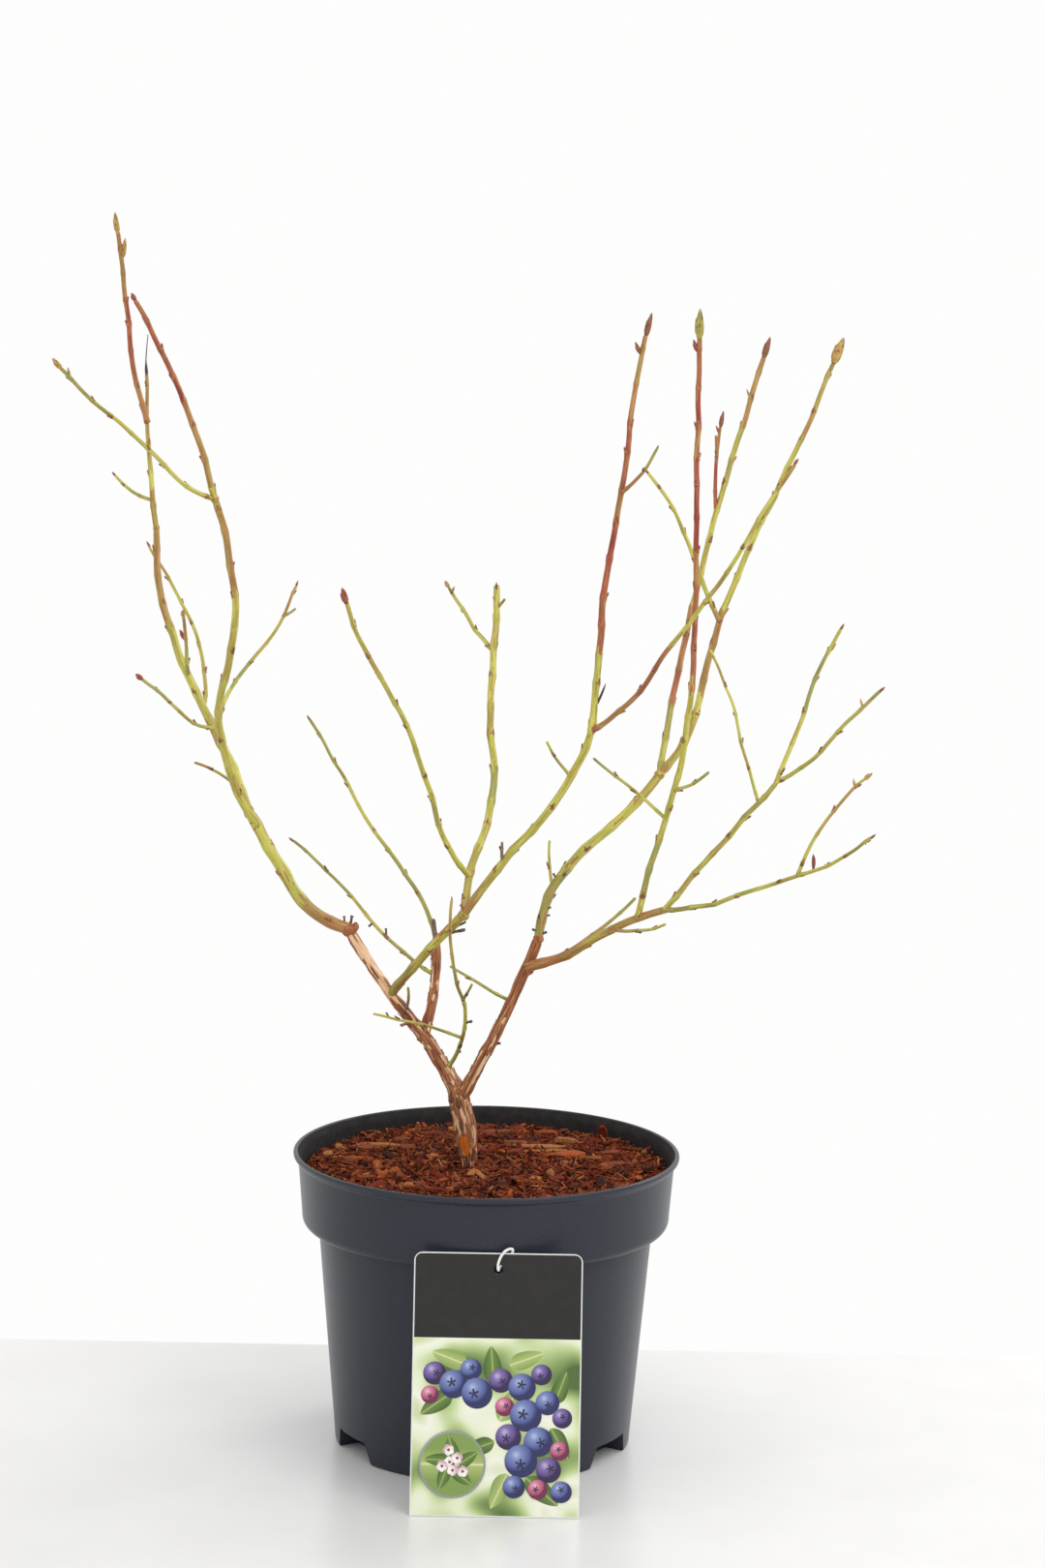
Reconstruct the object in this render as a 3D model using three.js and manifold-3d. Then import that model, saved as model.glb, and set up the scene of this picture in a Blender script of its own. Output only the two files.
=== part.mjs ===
// A young highbush blueberry in winter: a bare, twiggy bush in a three-litre
// nursery pot filled with bark compost, with a plant label leaning on the pot.
// Millimetres, +Z up. The origin is the centre of the pot's flat underside,
// and the bush is seen from the front along +Y.

import * as THREE from 'three';
import { mergeVertices } from 'three/addons/utils/BufferGeometryUtils.js';
import Module from 'manifold-3d';

const wasm = await Module();
wasm.setup();

// ---------------------------------------------------------------- sizes

const GAP = 0.3; // between pieces that touch

const POT = {
  height: 145.6,
  lip: 95,            // outer radius of the small lip round its mouth
  lipDepth: 3.7,
  lipInside: 93.1,    // the mouth's radius at the very top
  bandTop: 92.5,      // the upright band under the lip
  bandFoot: 90.4,
  bandFootHeight: 115.2,
  bodyTop: 82.2,      // the tapering body, where the corner under the band ends
  bodyTopHeight: 108.4,
  corner: 0.7,        // how full that corner is: 1 is round, less is squarer
  foot: 72.9,
  footEdge: 1,        // the rounding of the foot's edge
  wall: 1.7,
  floor: 2.4,
  sides: 36,
};

const DRAIN = {
  count: 6,
  first: 270,         // bearing of the first one
  half: 17.4,         // half its width at the ground
  slant: 0.74,        // its top's width as a share of its foot's
  height: 10.5,
  inner: 60,          // from the pot's axis to its inner wall
  wall: 2,
};

const SOIL = {
  edge: 137,
  top: 140,
  waves: 0.9,
  reach: 0.8,         // share of the band's height at which it meets the wall
  play: 0.5,          // between the compost and the pot
};

const LABEL = {
  width: 79,
  length: 122.2,
  thick: 0.6,
  corner: 4,
  hole: 2.3,
  holeDrop: 7.6,      // hole centre below the top edge
  lean: 12.7,         // degrees back from upright
  centre: 7.5,        // to the right of the pot's axis
  foot: -119.4,       // depth of the foot's back face
};

const TIE = {
  thick: 1.1,
  over: 1.9,          // how far it stands above the label's top edge
  stand: 1.15,        // from the card's middle to each side's middle
  right: 6.2,         // where it crosses the top edge
};

// How a shoot is built up: sides of its section, and how far apart its rings are.
const SECTION = { trunk: 10, limb: 8, cane: 6, twig: 5 };
const RING_STEP = 15;
const FLARE = 0.28;   // extra width where a side shoot leaves its parent
const BUD = {
  step: 24,           // from one side bud to the next along a shoot
  spread: 6,          // how much that varies each way
  turn: 137.5,        // degrees round the shoot from one to the next
  long: 3.6,
  wide: 1.7,
  lean: 0.62,         // how far it leans out for each unit along the shoot
  clear: 5,           // from a side shoot's foot
  room: 3,            // from any other shoot
};

// The bush. Every shoot leaves its parent at a share of the parent's length,
// runs on for its own length, and thins from its first to its last diameter.
// Its headings are spread evenly along it, each a bearing (0 right, 90 back,
// 180 left, 270 front) and a rise above level, in degrees.
const SHOOTS = {
  trunk: { long: 42, thick: [9.6, 10.4], heads: [[103, 73], [139, 67]] },

  // three brown limbs
  left_limb: {
    from: 'trunk', at: 0.971, long: 96, thick: [6.8, 5.0],
    heads: [[155, 60], [164, 46], [165, 61]],
  },
  middle_limb: {
    from: 'left_limb', at: 0.335, long: 63, thick: [4.9, 4.3],
    heads: [[69, 44], [112, 66]],
  },
  right_limb: {
    from: 'trunk', at: 0.851, long: 90, thick: [6.0, 5.0],
    heads: [[3, 61], [3, 65], [3, 70]],
  },

  // the left side
  left_cane: {
    from: 'left_limb', at: 1, long: 80, thick: [6.0, 5.2],
    heads: [[162, 9], [164, 58], [160, 57]],
  },
  left_outer_cane: {
    from: 'left_cane', at: 1, long: 155, thick: [4.8, 3.2],
    heads: [[130, 58], [145, 54], [139, 62], [79, 78]],
  },
  left_outer_top: {
    from: 'left_outer_cane', at: 1, long: 99, thick: [3.0, 1.3],
    heads: [[123, 73], [112, 80], [78, 80]],
  },
  left_red_top: {
    from: 'left_outer_top', at: 0.55, long: 102, thick: [2.8, 2.1],
    heads: [[240, 61], [263, 70], [249, 72]], bud: [11, 2.9],
  },
  left_short_twig: {
    from: 'left_outer_top', at: 0.15, long: 33, thick: [1.9, 1.5],
    heads: [[133, 1], [137, 37]], bud: [4, 1.7],
  },
  left_back_twig: {
    from: 'left_outer_cane', at: 0.38, long: 108, thick: [2.1, 1.5],
    heads: [[85, 30], [116, 53], [126, 39], [138, 47]], bud: [4.5, 1.9],
  },
  left_front_twig: {
    from: 'left_outer_cane', at: 0.5, long: 45, thick: [2.1, 1.7],
    heads: [[273, 41], [268, 52]], bud: [5, 2.3],
  },
  left_crossing_twig: {
    from: 'left_outer_cane', at: 0.24, long: 107, thick: [2.3, 1.5],
    heads: [[108, 40], [43, 38], [65, 53]], bud: [4, 1.8],
  },
  left_crossing_spur: {
    from: 'left_crossing_twig', at: 0.82, long: 8, thick: [1.5, 1.2],
    heads: [[20, 20], [20, 40]],
  },
  left_low_twig: {
    from: 'left_outer_cane', at: 0.3, long: 77, thick: [1.9, 1.6],
    heads: [[245, 9], [248, 31], [238, 28]], bud: [6, 2.7],
  },
  left_small_twig: {
    from: 'left_outer_cane', at: 0.06, long: 31, thick: [1.6, 1.3],
    heads: [[212, 52], [197, 16]],
  },
  left_inner_cane: {
    from: 'left_cane', at: 0.88, long: 186, thick: [4.0, 3.2],
    heads: [[221, 52], [246, 62], [308, 63], [257, 71], [232, 65]],
  },
  left_inner_top: {
    from: 'left_inner_cane', at: 1, long: 106, thick: [3.0, 2.3],
    heads: [[246, 64], [226, 62], [215, 57]], bud: [4, 2.4],
  },
  left_far_twig: {
    from: 'left_inner_top', at: 0, long: 115, thick: [2.3, 1.7],
    heads: [[231, 13], [231, 40], [226, 32], [223, 43]], bud: [7, 2.6],
  },

  // the middle
  middle_cane: {
    from: 'left_limb', at: 0.6, long: 64, thick: [4.0, 4.4],
    heads: [[315, 47], [330, 43]],
  },
  middle_tall_shoot: {
    from: 'middle_cane', at: 1, long: 176, thick: [3.8, 3.2],
    heads: [[85, 52], [59, 52], [106, 62], [79, 67], [92, 69]],
  },
  middle_tall_side: {
    from: 'middle_tall_shoot', at: 0.8, long: 61, thick: [2.3, 1.7],
    heads: [[114, 19], [120, 36]], bud: [5, 2.2],
  },
  middle_tall_spur: {
    from: 'middle_tall_shoot', at: 0.93, long: 7, thick: [1.7, 1.3],
    heads: [[338, 41], [339, 55]],
  },
  middle_front_shoot: {
    from: 'middle_tall_shoot', at: 0.12, long: 191, thick: [2.8, 2.1],
    heads: [[237, 34], [252, 53], [248, 51], [233, 47], [247, 56]], bud: [9, 3.3],
  },
  middle_back_shoot: {
    from: 'middle_limb', at: 0.87, long: 144, thick: [2.3, 1.6],
    heads: [[111, 43], [134, 35], [131, 46], [141, 47]], bud: [3.6, 1.8],
  },
  middle_low_shoot: {
    from: 'middle_limb', at: 0.53, long: 102, thick: [2.0, 1.5],
    heads: [[152, 23], [153, 45], [162, 34]], bud: [3.6, 1.8],
  },
  middle_right_cane: {
    from: 'middle_cane', at: 1, long: 112, thick: [4.0, 3.5],
    heads: [[339, 57], [351, 48], [344, 73]],
  },
  middle_red_top: {
    from: 'middle_right_cane', at: 1, long: 191, thick: [3.5, 2.3],
    heads: [[63, 76], [69, 82], [45, 75], [48, 83], [36, 74]], bud: [12, 3.1],
  },
  middle_long_fork: {
    from: 'middle_red_top', at: 0, long: 181, thick: [2.6, 1.7],
    heads: [[322, 27], [309, 49], [323, 48], [314, 55], [320, 52]], bud: [4, 2.1],
  },
  middle_high_twig: {
    from: 'middle_red_top', at: 0.6, long: 37, thick: [1.9, 1.4],
    heads: [[303, 27], [301, 48]], bud: [3.6, 1.8],
  },
  middle_small_twig: {
    from: 'middle_right_cane', at: 0.78, long: 32, thick: [1.6, 1.3],
    heads: [[241, 31], [241, 46]],
  },
  middle_dead_spur: {
    from: 'middle_right_cane', at: 0.3, long: 13, thick: [1.8, 1.3],
    heads: [[245, 52], [290, 60]],
  },
  middle_inner_twig: {
    from: 'left_limb', at: 0.125, long: 110, thick: [2.1, 1.4],
    heads: [[315, 44], [241, 58], [286, 66]],
  },
  middle_inner_spur: {
    from: 'middle_inner_twig', at: 0.45, long: 18, thick: [1.5, 1.2],
    heads: [[289, 31], [288, 41]],
  },
  middle_crooked_twig: {
    from: 'middle_inner_twig', at: 0.22, long: 55, thick: [1.6, 1.2],
    heads: [[220, 23], [210, 14]],
  },
  middle_spur: {
    from: 'left_limb', at: 0.485, long: 18, thick: [1.6, 1.3],
    heads: [[293, 49], [260, 56]],
  },
  middle_cross_twig: {
    from: 'right_limb', at: 0.62, long: 39, thick: [1.8, 1.3],
    heads: [[141, 14], [153, 25]],
  },

  // the right side
  right_cane: {
    from: 'right_limb', at: 1, long: 106, thick: [4.6, 4.3],
    heads: [[82, 64], [24, 35], [25, 48]],
  },
  right_back_shoot: {
    from: 'right_cane', at: 1, long: 227, thick: [3.2, 2.6],
    heads: [[74, 62], [66, 63], [61, 64], [55, 65], [47, 65], [45, 67]], bud: [12, 3.5],
  },
  right_back_side: {
    from: 'right_back_shoot', at: 0.62, long: 45, thick: [2.0, 1.6],
    heads: [[108, 73], [53, 74]], bud: [9, 2.4],
  },
  right_back_spur: {
    from: 'right_back_side', at: 0.65, long: 16, thick: [1.6, 1.3],
    heads: [[264, 40], [265, 50]],
  },
  right_long_shoot: {
    from: 'right_cane', at: 1, long: 226, thick: [3.8, 2.2],
    heads: [[22, 43], [46, 76], [32, 67], [21, 63], [21, 64], [23, 68]], bud: [14, 5.2],
  },
  right_long_side: {
    from: 'right_long_shoot', at: 0.37, long: 90, thick: [2.5, 1.6],
    heads: [[226, 54], [224, 63], [202, 47]], bud: [3.6, 1.9],
  },
  right_thin_twig: {
    from: 'right_cane', at: 0.25, long: 24, thick: [1.6, 1.2],
    heads: [[143, 70], [59, 75]],
  },
  right_bough: {
    from: 'right_limb', at: 0.83, long: 85, thick: [4.6, 3.4],
    heads: [[324, 15], [327, 35], [335, 17]],
  },
  right_red_shoot: {
    from: 'right_bough', at: 0.83, long: 281, thick: [3.0, 2.4],
    heads: [[339, 79], [343, 72], [317, 81], [278, 87], [255, 84], [264, 88], [261, 85]], bud: [14, 4.3],
  },
  right_red_left: {
    from: 'right_red_shoot', at: 0.18, long: 56, thick: [1.8, 1.3],
    heads: [[124, 22], [142, 27]],
  },
  right_red_right: {
    from: 'right_red_shoot', at: 0.23, long: 31, thick: [1.8, 1.4],
    heads: [[300, 16], [306, 33]],
  },
  right_far_shoot: {
    from: 'right_bough', at: 1, long: 87, thick: [2.8, 2.4],
    heads: [[328, 50], [333, 49], [337, 50]],
  },
  right_far_high: {
    from: 'right_far_shoot', at: 1, long: 79, thick: [2.3, 1.7],
    heads: [[35, 61], [35, 69], [20, 57]], bud: [3.8, 1.9],
  },
  right_far_front: {
    from: 'right_far_shoot', at: 1, long: 82, thick: [2.1, 1.6],
    heads: [[311, 24], [310, 44], [317, 39]], bud: [3.8, 1.9],
  },
  right_far_back: {
    from: 'right_far_shoot', at: 0.85, long: 94, thick: [1.7, 1.3],
    heads: [[103, 35], [104, 46], [126, 48]],
  },
  right_low_shoot: {
    from: 'right_bough', at: 1, long: 140, thick: [2.4, 1.5],
    heads: [[312, 9], [312, 22], [316, 20], [315, 38]], bud: [4, 1.7],
  },
  right_low_high: {
    from: 'right_low_shoot', at: 0.65, long: 55, thick: [1.8, 1.4],
    heads: [[26, 70], [7, 40]], bud: [5, 2.2],
  },
  right_bough_back: {
    from: 'right_bough', at: 0.15, long: 57, thick: [2.2, 1.6],
    heads: [[31, 18], [23, 43]],
  },
  right_bough_front: {
    from: 'right_bough', at: 0.65, long: 40, thick: [1.8, 1.3],
    heads: [[304, 0], [315, 24]],
  },
};

// What each node is made of. The trunk and the limbs are one tapering piece
// each; a cluster is a stem with the twigs that branch from it.
const TRUNK = { name: 'trunk', collars: ['left_limb', 'right_limb'] };
const LIMBS = [
  'left_limb', 'middle_limb', 'right_limb', 'left_cane', 'left_outer_cane', 'left_inner_cane',
  'middle_cane', 'middle_right_cane', 'right_cane', 'right_bough',
];
const CLUSTERS = {
  left_outer_twigs: ['left_outer_top', 'left_red_top', 'left_short_twig'],
  left_inner_twigs: ['left_inner_top', 'left_far_twig'],
  left_back_twigs: ['left_back_twig'],
  left_front_twigs: ['left_front_twig'],
  left_crossing_twigs: ['left_crossing_twig', 'left_crossing_spur'],
  left_low_twigs: ['left_low_twig'],
  left_small_twigs: ['left_small_twig'],
  middle_tall_twigs: ['middle_tall_shoot', 'middle_tall_side', 'middle_tall_spur'],
  middle_front_twigs: ['middle_front_shoot'],
  middle_back_twigs: ['middle_back_shoot'],
  middle_low_twigs: ['middle_low_shoot'],
  middle_right_twigs: ['middle_red_top', 'middle_long_fork', 'middle_high_twig'],
  middle_small_twigs: ['middle_small_twig'],
  middle_dead_twigs: ['middle_dead_spur'],
  middle_inner_twigs: ['middle_inner_twig', 'middle_inner_spur', 'middle_crooked_twig'],
  middle_spur_twigs: ['middle_spur'],
  middle_cross_twigs: ['middle_cross_twig'],
  right_back_twigs: ['right_back_shoot', 'right_back_side', 'right_back_spur'],
  right_long_twigs: ['right_long_shoot', 'right_long_side'],
  right_thin_twigs: ['right_thin_twig'],
  right_red_twigs: ['right_red_shoot', 'right_red_left', 'right_red_right'],
  right_far_twigs: ['right_far_shoot', 'right_far_high', 'right_far_front', 'right_far_back'],
  right_low_twigs: ['right_low_shoot', 'right_low_high'],
  right_bough_back_twigs: ['right_bough_back'],
  right_bough_front_twigs: ['right_bough_front'],
};

const TRUNK_FOOT = new THREE.Vector3(-8, -8.4, SOIL.top - 4);
const COLLAR = 11; // how much of a limb's foot is one with the trunk
const BESIDE = 9;  // shoots that start this close are cut clear of each other

// ---------------------------------------------------------------- solids

// A three.js geometry as a closed solid that can be joined and cut.
function solidOf(geometry) {
  const bare = geometry.clone();
  bare.deleteAttribute('normal');
  bare.deleteAttribute('uv');
  const merged = mergeVertices(bare, 1e-4);
  return new wasm.Manifold(new wasm.Mesh({
    numProp: 3,
    vertProperties: new Float32Array(merged.attributes.position.array),
    triVerts: new Uint32Array(merged.index.array),
  }));
}

// A solid as a named mesh with its own material.
function meshOf(name, solid, color, roughness) {
  const out = solid.getMesh();
  const geometry = new THREE.BufferGeometry();
  geometry.setAttribute('position', new THREE.BufferAttribute(new Float32Array(out.vertProperties), 3));
  geometry.setIndex(new THREE.BufferAttribute(new Uint32Array(out.triVerts), 1));
  geometry.computeVertexNormals();
  const mesh = new THREE.Mesh(geometry, new THREE.MeshStandardMaterial({ color, roughness, metalness: 0 }));
  mesh.name = name;
  return mesh;
}

function join(solids) {
  return solids.reduce((whole, piece) => whole.add(piece));
}

// The largest body of a solid: scraps left by a cut are dropped.
function largest(solid) {
  const bodies = solid.decompose();
  return bodies.reduce((best, body) => (body.volume() > best.volume() ? body : best));
}

// A profile of [radius, height] points turned round the Z axis.
function turned(profile, sides) {
  const points = profile.map(([radius, height]) => new THREE.Vector2(radius, height));
  return new THREE.LatheGeometry(points, sides).rotateX(Math.PI / 2);
}

// A repeatable run of random numbers from 0 to 1, one run for each name.
function seeded(name) {
  let state = [...name].reduce((sum, letter) => (sum * 31 + letter.charCodeAt(0)) % 65521, 7);
  return () => {
    state = (state * 16807 + 11) % 2147483647;
    return state / 2147483647;
  };
}

// ---------------------------------------------------------------- shoots

// A unit vector from a bearing and a rise in degrees.
function heading([bearing, rise]) {
  const across = THREE.MathUtils.degToRad(bearing);
  const above = THREE.MathUtils.degToRad(rise);
  const level = Math.cos(above);
  return new THREE.Vector3(level * Math.cos(across), level * Math.sin(across), Math.sin(above));
}

// The way a shoot points at a share of its length.
function headingAt(shoot, share) {
  const ways = shoot.heads.map(heading);
  const place = Math.min(Math.max(share, 0), 0.9999) * (ways.length - 1);
  const low = Math.floor(place);
  return ways[low].clone().lerp(ways[low + 1], place - low).normalize();
}

// The centreline of a shoot, as many short steps from its start.
const RUN_STEPS = 60;
function runFrom(start, shoot) {
  const run = [start.clone()];
  for (let step = 0; step < RUN_STEPS; step += 1) {
    const way = headingAt(shoot, (step + 0.5) / RUN_STEPS);
    run.push(run[step].clone().addScaledVector(way, shoot.long / RUN_STEPS));
  }
  return run;
}

function pointAt(run, share) {
  const place = Math.min(Math.max(share, 0), 1) * RUN_STEPS;
  const low = Math.min(Math.floor(place), RUN_STEPS - 1);
  return run[low].clone().lerp(run[low + 1], place - low);
}

const runs = {};
for (const [name, shoot] of Object.entries(SHOOTS)) {
  const start = shoot.from ? pointAt(runs[shoot.from], shoot.at) : TRUNK_FOOT;
  runs[name] = runFrom(start, shoot);
}

// Half the thickness of a shoot at a distance along it. A side shoot has a
// flared foot; one that carries on from its parent's tip has none.
function radiusAt(shoot, along) {
  const [foot, tip] = shoot.thick;
  const plain = THREE.MathUtils.lerp(foot, tip, along / shoot.long) / 2;
  const flare = shoot.at < 1 ? FLARE : 0;
  return plain * (1 + flare * Math.exp(-along / (1.2 * foot)));
}

// A bent, tapering rod along part of a shoot. `grown` makes it wider and
// longer all round, for cutting its clearance out of a neighbour.
function rod(name, { begin = 0, end = SHOOTS[name].long, sides, grown = 0 }) {
  const shoot = SHOOTS[name];
  const long = end - begin;
  const rings = Math.max(2, Math.round(long / RING_STEP) + 1);
  const geometry = new THREE.CylinderGeometry(1, 1, 1, sides, rings + 1);
  const position = geometry.attributes.position;
  const bevel = Math.min(0.6, long / 8);
  const frames = [];
  let across = new THREE.Vector3(0, -1, 0.01);
  for (let ring = 0; ring <= rings + 1; ring += 1) {
    const even = begin + (Math.min(ring, rings) / rings) * (long - bevel);
    const along = ring > rings ? end : even;
    const way = headingAt(shoot, along / shoot.long);
    across = across.clone().addScaledVector(way, -across.dot(way)).normalize();
    const centre = pointAt(runs[name], along / shoot.long);
    if (ring === 0) centre.addScaledVector(way, -grown);
    if (ring > rings) centre.addScaledVector(way, grown);
    const radius = radiusAt(shoot, along) * (ring > rings ? 0.75 : 1) + grown;
    frames.push({ centre, across, over: way.clone().cross(across), radius });
  }
  for (let i = 0; i < position.count; i += 1) {
    const frame = frames[Math.round((position.getY(i) + 0.5) * (rings + 1))];
    const point = frame.centre.clone();
    point.addScaledVector(frame.across, position.getZ(i) * frame.radius);
    point.addScaledVector(frame.over, position.getX(i) * frame.radius);
    position.setXYZ(i, point.x, point.y, point.z);
  }
  return geometry;
}

// A pointed bud whose foot sits on a point and which points along a way.
function bud(point, way, long, wide, sides, rows) {
  const geometry = new THREE.SphereGeometry(0.5, sides, rows);
  geometry.scale(wide, long, wide);
  geometry.translate(0, long * 0.42, 0);
  const turn = new THREE.Quaternion().setFromUnitVectors(new THREE.Vector3(0, 1, 0), way);
  geometry.applyQuaternion(turn);
  geometry.translate(point.x, point.y, point.z);
  return geometry;
}

// Whether a point keeps clear of every other shoot.
function isClear(point, own, room) {
  return Object.entries(runs).every(([name, run]) => (
    name === own || run.every((place) => place.distanceTo(point) > room + SHOOTS[name].thick[0] / 2)
  ));
}

// The side buds of a shoot: they climb round it in turn, and one that would
// touch another shoot, or sit where a side shoot leaves, is skipped.
function sideBuds(name) {
  const shoot = SHOOTS[name];
  const random = seeded(name);
  const leaving = Object.values(SHOOTS).filter((other) => other.from === name);
  const buds = [];
  let along = BUD.clear + random() * BUD.step;
  let turn = random() * 360;
  while (along < shoot.long - BUD.clear) {
    const share = along / shoot.long;
    const way = headingAt(shoot, share);
    const side = new THREE.Vector3(0, -1, 0.01).addScaledVector(way, way.y).normalize();
    side.applyAxisAngle(way, THREE.MathUtils.degToRad(turn));
    const radius = radiusAt(shoot, along);
    const foot = pointAt(runs[name], share).addScaledVector(side, radius * 0.75);
    const points = way.clone().addScaledVector(side, BUD.lean).normalize();
    const free = leaving.every((other) => Math.abs(other.at * shoot.long - along) > BUD.clear);
    if (free && isClear(foot, name, BUD.room)) buds.push(bud(foot, points, BUD.long, BUD.wide, 3, 2));
    along += BUD.step + (random() - 0.5) * 2 * BUD.spread;
    turn += BUD.turn;
  }
  return buds;
}

function tipBud(name) {
  const shoot = SHOOTS[name];
  const [long, wide] = shoot.bud;
  return bud(runs[name][RUN_STEPS], headingAt(shoot, 1), long, wide, 5, 4);
}

// One shoot with its buds, as a solid.
function shootSolid(name, sides, options = {}) {
  const pieces = [rod(name, { sides, ...options })];
  if (options.buds !== false) pieces.push(...sideBuds(name));
  if (SHOOTS[name].bud) pieces.push(tipBud(name));
  return join(pieces.map(solidOf));
}

// The room that a node's shoots need, to be cut out of what leaves them.
function clearance(node) {
  const rods = node.parts.map(({ name, sides, begin, end }) => rod(name, { sides, begin, end, grown: GAP }));
  return join(rods.map(solidOf));
}

// ---------------------------------------------------------------- the bush

function bushNodes() {
  const nodes = [];
  const trunkParts = [{ name: 'trunk', sides: SECTION.trunk, buds: false }];
  for (const limb of TRUNK.collars) {
    trunkParts.push({ name: limb, sides: SECTION.limb, end: COLLAR, buds: false });
  }
  nodes.push({ name: TRUNK.name, parts: trunkParts, color: 0x8a5a3c });
  for (const name of LIMBS) {
    const brown = name.endsWith('limb');
    const begin = TRUNK.collars.includes(name) ? COLLAR + GAP : 0;
    const sides = brown ? SECTION.limb : SECTION.cane;
    nodes.push({ name, parts: [{ name, sides, begin, buds: !brown }], color: brown ? 0x8f5f3f : 0xa3a544 });
  }
  for (const [name, shoots] of Object.entries(CLUSTERS)) {
    const parts = shoots.map((shoot) => ({ name: shoot, sides: SECTION.twig }));
    nodes.push({ name, parts, color: name.includes('red') ? 0xb0603a : 0xa9a24a });
  }
  return nodes;
}

// Everything below the trunk's level foot, which stands on the compost.
function ground() {
  const block = new THREE.BoxGeometry(60, 60, 20);
  block.translate(TRUNK_FOOT.x, TRUNK_FOOT.y, SOIL.top + GAP - 10);
  return solidOf(block);
}

// Each node is cut clear of the node that it leaves and of what leaves beside it.
function bushMeshes() {
  const done = [];
  for (const node of bushNodes()) {
    const first = SHOOTS[node.parts[0].name];
    const start = runs[node.parts[0].name][0];
    let solid = join(node.parts.map(({ name, sides, ...options }) => shootSolid(name, sides, options)));
    if (node.name === TRUNK.name) solid = largest(solid.subtract(ground()));
    for (const other of done) {
      const parent = other.parts.some(({ name }) => name === first.from);
      const beside = other.parts.some(({ name }) => runs[name][0].distanceTo(start) < BESIDE);
      if (parent || beside) solid = largest(solid.subtract(clearance(other)));
    }
    done.push({ ...node, solid });
  }
  return done.map(({ name, solid, color }) => meshOf(name, solid, color, 0.75));
}

// ---------------------------------------------------------------- pot

// The full corner between the body's top and the band's foot.
function cornerPoints() {
  const { bandFoot, bandFootHeight, bodyTop, bodyTopHeight, corner } = POT;
  return [0, 30, 60, 90].map((degrees) => {
    const turn = THREE.MathUtils.degToRad(degrees);
    return [
      THREE.MathUtils.lerp(bodyTop, bandFoot, Math.sin(turn) ** corner),
      THREE.MathUtils.lerp(bandFootHeight, bodyTopHeight, Math.cos(turn) ** corner),
    ];
  });
}

function outsideProfile() {
  const { height, lip, lipDepth, bandTop, foot, footEdge } = POT;
  const lipFoot = height - lipDepth;
  return [
    [0, 0],
    [foot - footEdge, 0],
    [foot, footEdge],
    ...cornerPoints(),
    [bandTop, lipFoot],
    [lip - 0.5, lipFoot + 1.2],
    [lip, lipFoot + 2.2],
    [lip - 0.6, height - 0.3],
    [lip - 1.2, height],
  ];
}

function insideProfile() {
  const { height, lipDepth, lipInside, bandTop, foot, wall, floor } = POT;
  return [
    [0, floor],
    [foot - wall, floor],
    ...cornerPoints().map(([radius, above]) => [radius - wall, above + wall]),
    [bandTop - wall, height - lipDepth],
    [lipInside, height],
  ];
}

// A wedge with slanted sides across the foot's corner, where the drain pocket
// at a bearing is. `grown` makes it larger all round, for the pocket's walls.
function drainWedge(bearing, grown) {
  const foot = DRAIN.half + grown;
  const top = DRAIN.half * DRAIN.slant + grown;
  const height = DRAIN.height + grown;
  const outline = new THREE.Shape();
  outline.moveTo(-foot, -1);
  outline.lineTo(foot, -1);
  outline.lineTo(top, height);
  outline.lineTo(-top, height);
  outline.closePath();
  const wedge = new THREE.ExtrudeGeometry(outline, { depth: POT.lip - DRAIN.inner, bevelEnabled: false });
  wedge.rotateX(Math.PI / 2);
  wedge.translate(0, grown - DRAIN.inner, 0);
  wedge.rotateZ(THREE.MathUtils.degToRad(bearing - 270));
  return solidOf(wedge);
}

function potMesh() {
  const { height, lipInside, sides } = POT;
  const outside = solidOf(turned([...outsideProfile(), [0, height]], sides));
  const room = [...insideProfile(), [lipInside, height + 1], [0, height + 1]];
  const bearings = Array.from({ length: DRAIN.count }, (_, i) => DRAIN.first + (i * 360) / DRAIN.count);
  let pot = outside.subtract(solidOf(turned(room, sides)));
  for (const bearing of bearings) pot = pot.add(drainWedge(bearing, DRAIN.wall).intersect(outside));
  for (const bearing of bearings) pot = pot.subtract(drainWedge(bearing, 0));
  return meshOf('pot', pot, 0x3f434a, 0.45);
}

// ---------------------------------------------------------------- compost

// Low waves in the compost's surface, none of them higher than its top.
function soilHeight(x, y) {
  const wave = Math.sin(x * 0.21 + 1) * Math.cos(y * 0.17) + Math.sin(x * 0.09 - y * 0.13);
  const radius = Math.hypot(x, y) / POT.bandTop;
  return THREE.MathUtils.lerp(SOIL.top, SOIL.edge, radius * radius) - SOIL.waves * (1 + wave / 2);
}

// It fills the pot's inside, but keeps clear of the drain pockets' walls.
function soilMesh() {
  const { bandTop, bandFoot, wall, floor, foot, bodyTop, bodyTopHeight } = POT;
  const { play, reach, top } = SOIL;
  const plug = DRAIN.inner - DRAIN.wall - play;
  const plugTop = DRAIN.height + DRAIN.wall + play;
  const above = THREE.MathUtils.lerp(foot, bodyTop, plugTop / bodyTopHeight);
  const edge = THREE.MathUtils.lerp(bandFoot, bandTop, reach) - wall - play;
  const profile = [
    [0, floor + play],
    [plug, floor + play],
    [plug, plugTop],
    [above - wall - play, plugTop],
    ...cornerPoints().map(([radius, height]) => [radius - wall - play, height + wall + play]),
  ];
  for (const share of [1, 0.8, 0.6, 0.4, 0.24, 0]) profile.push([edge * share, top]);
  const geometry = turned(profile, POT.sides);
  const position = geometry.attributes.position;
  for (let i = 0; i < position.count; i += 1) {
    const surface = position.getZ(i) > top - 0.01;
    if (surface) position.setZ(i, soilHeight(position.getX(i), position.getY(i)));
  }
  return meshOf('compost', solidOf(geometry), 0x6d3a22, 0.95);
}

// ---------------------------------------------------------------- label

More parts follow.
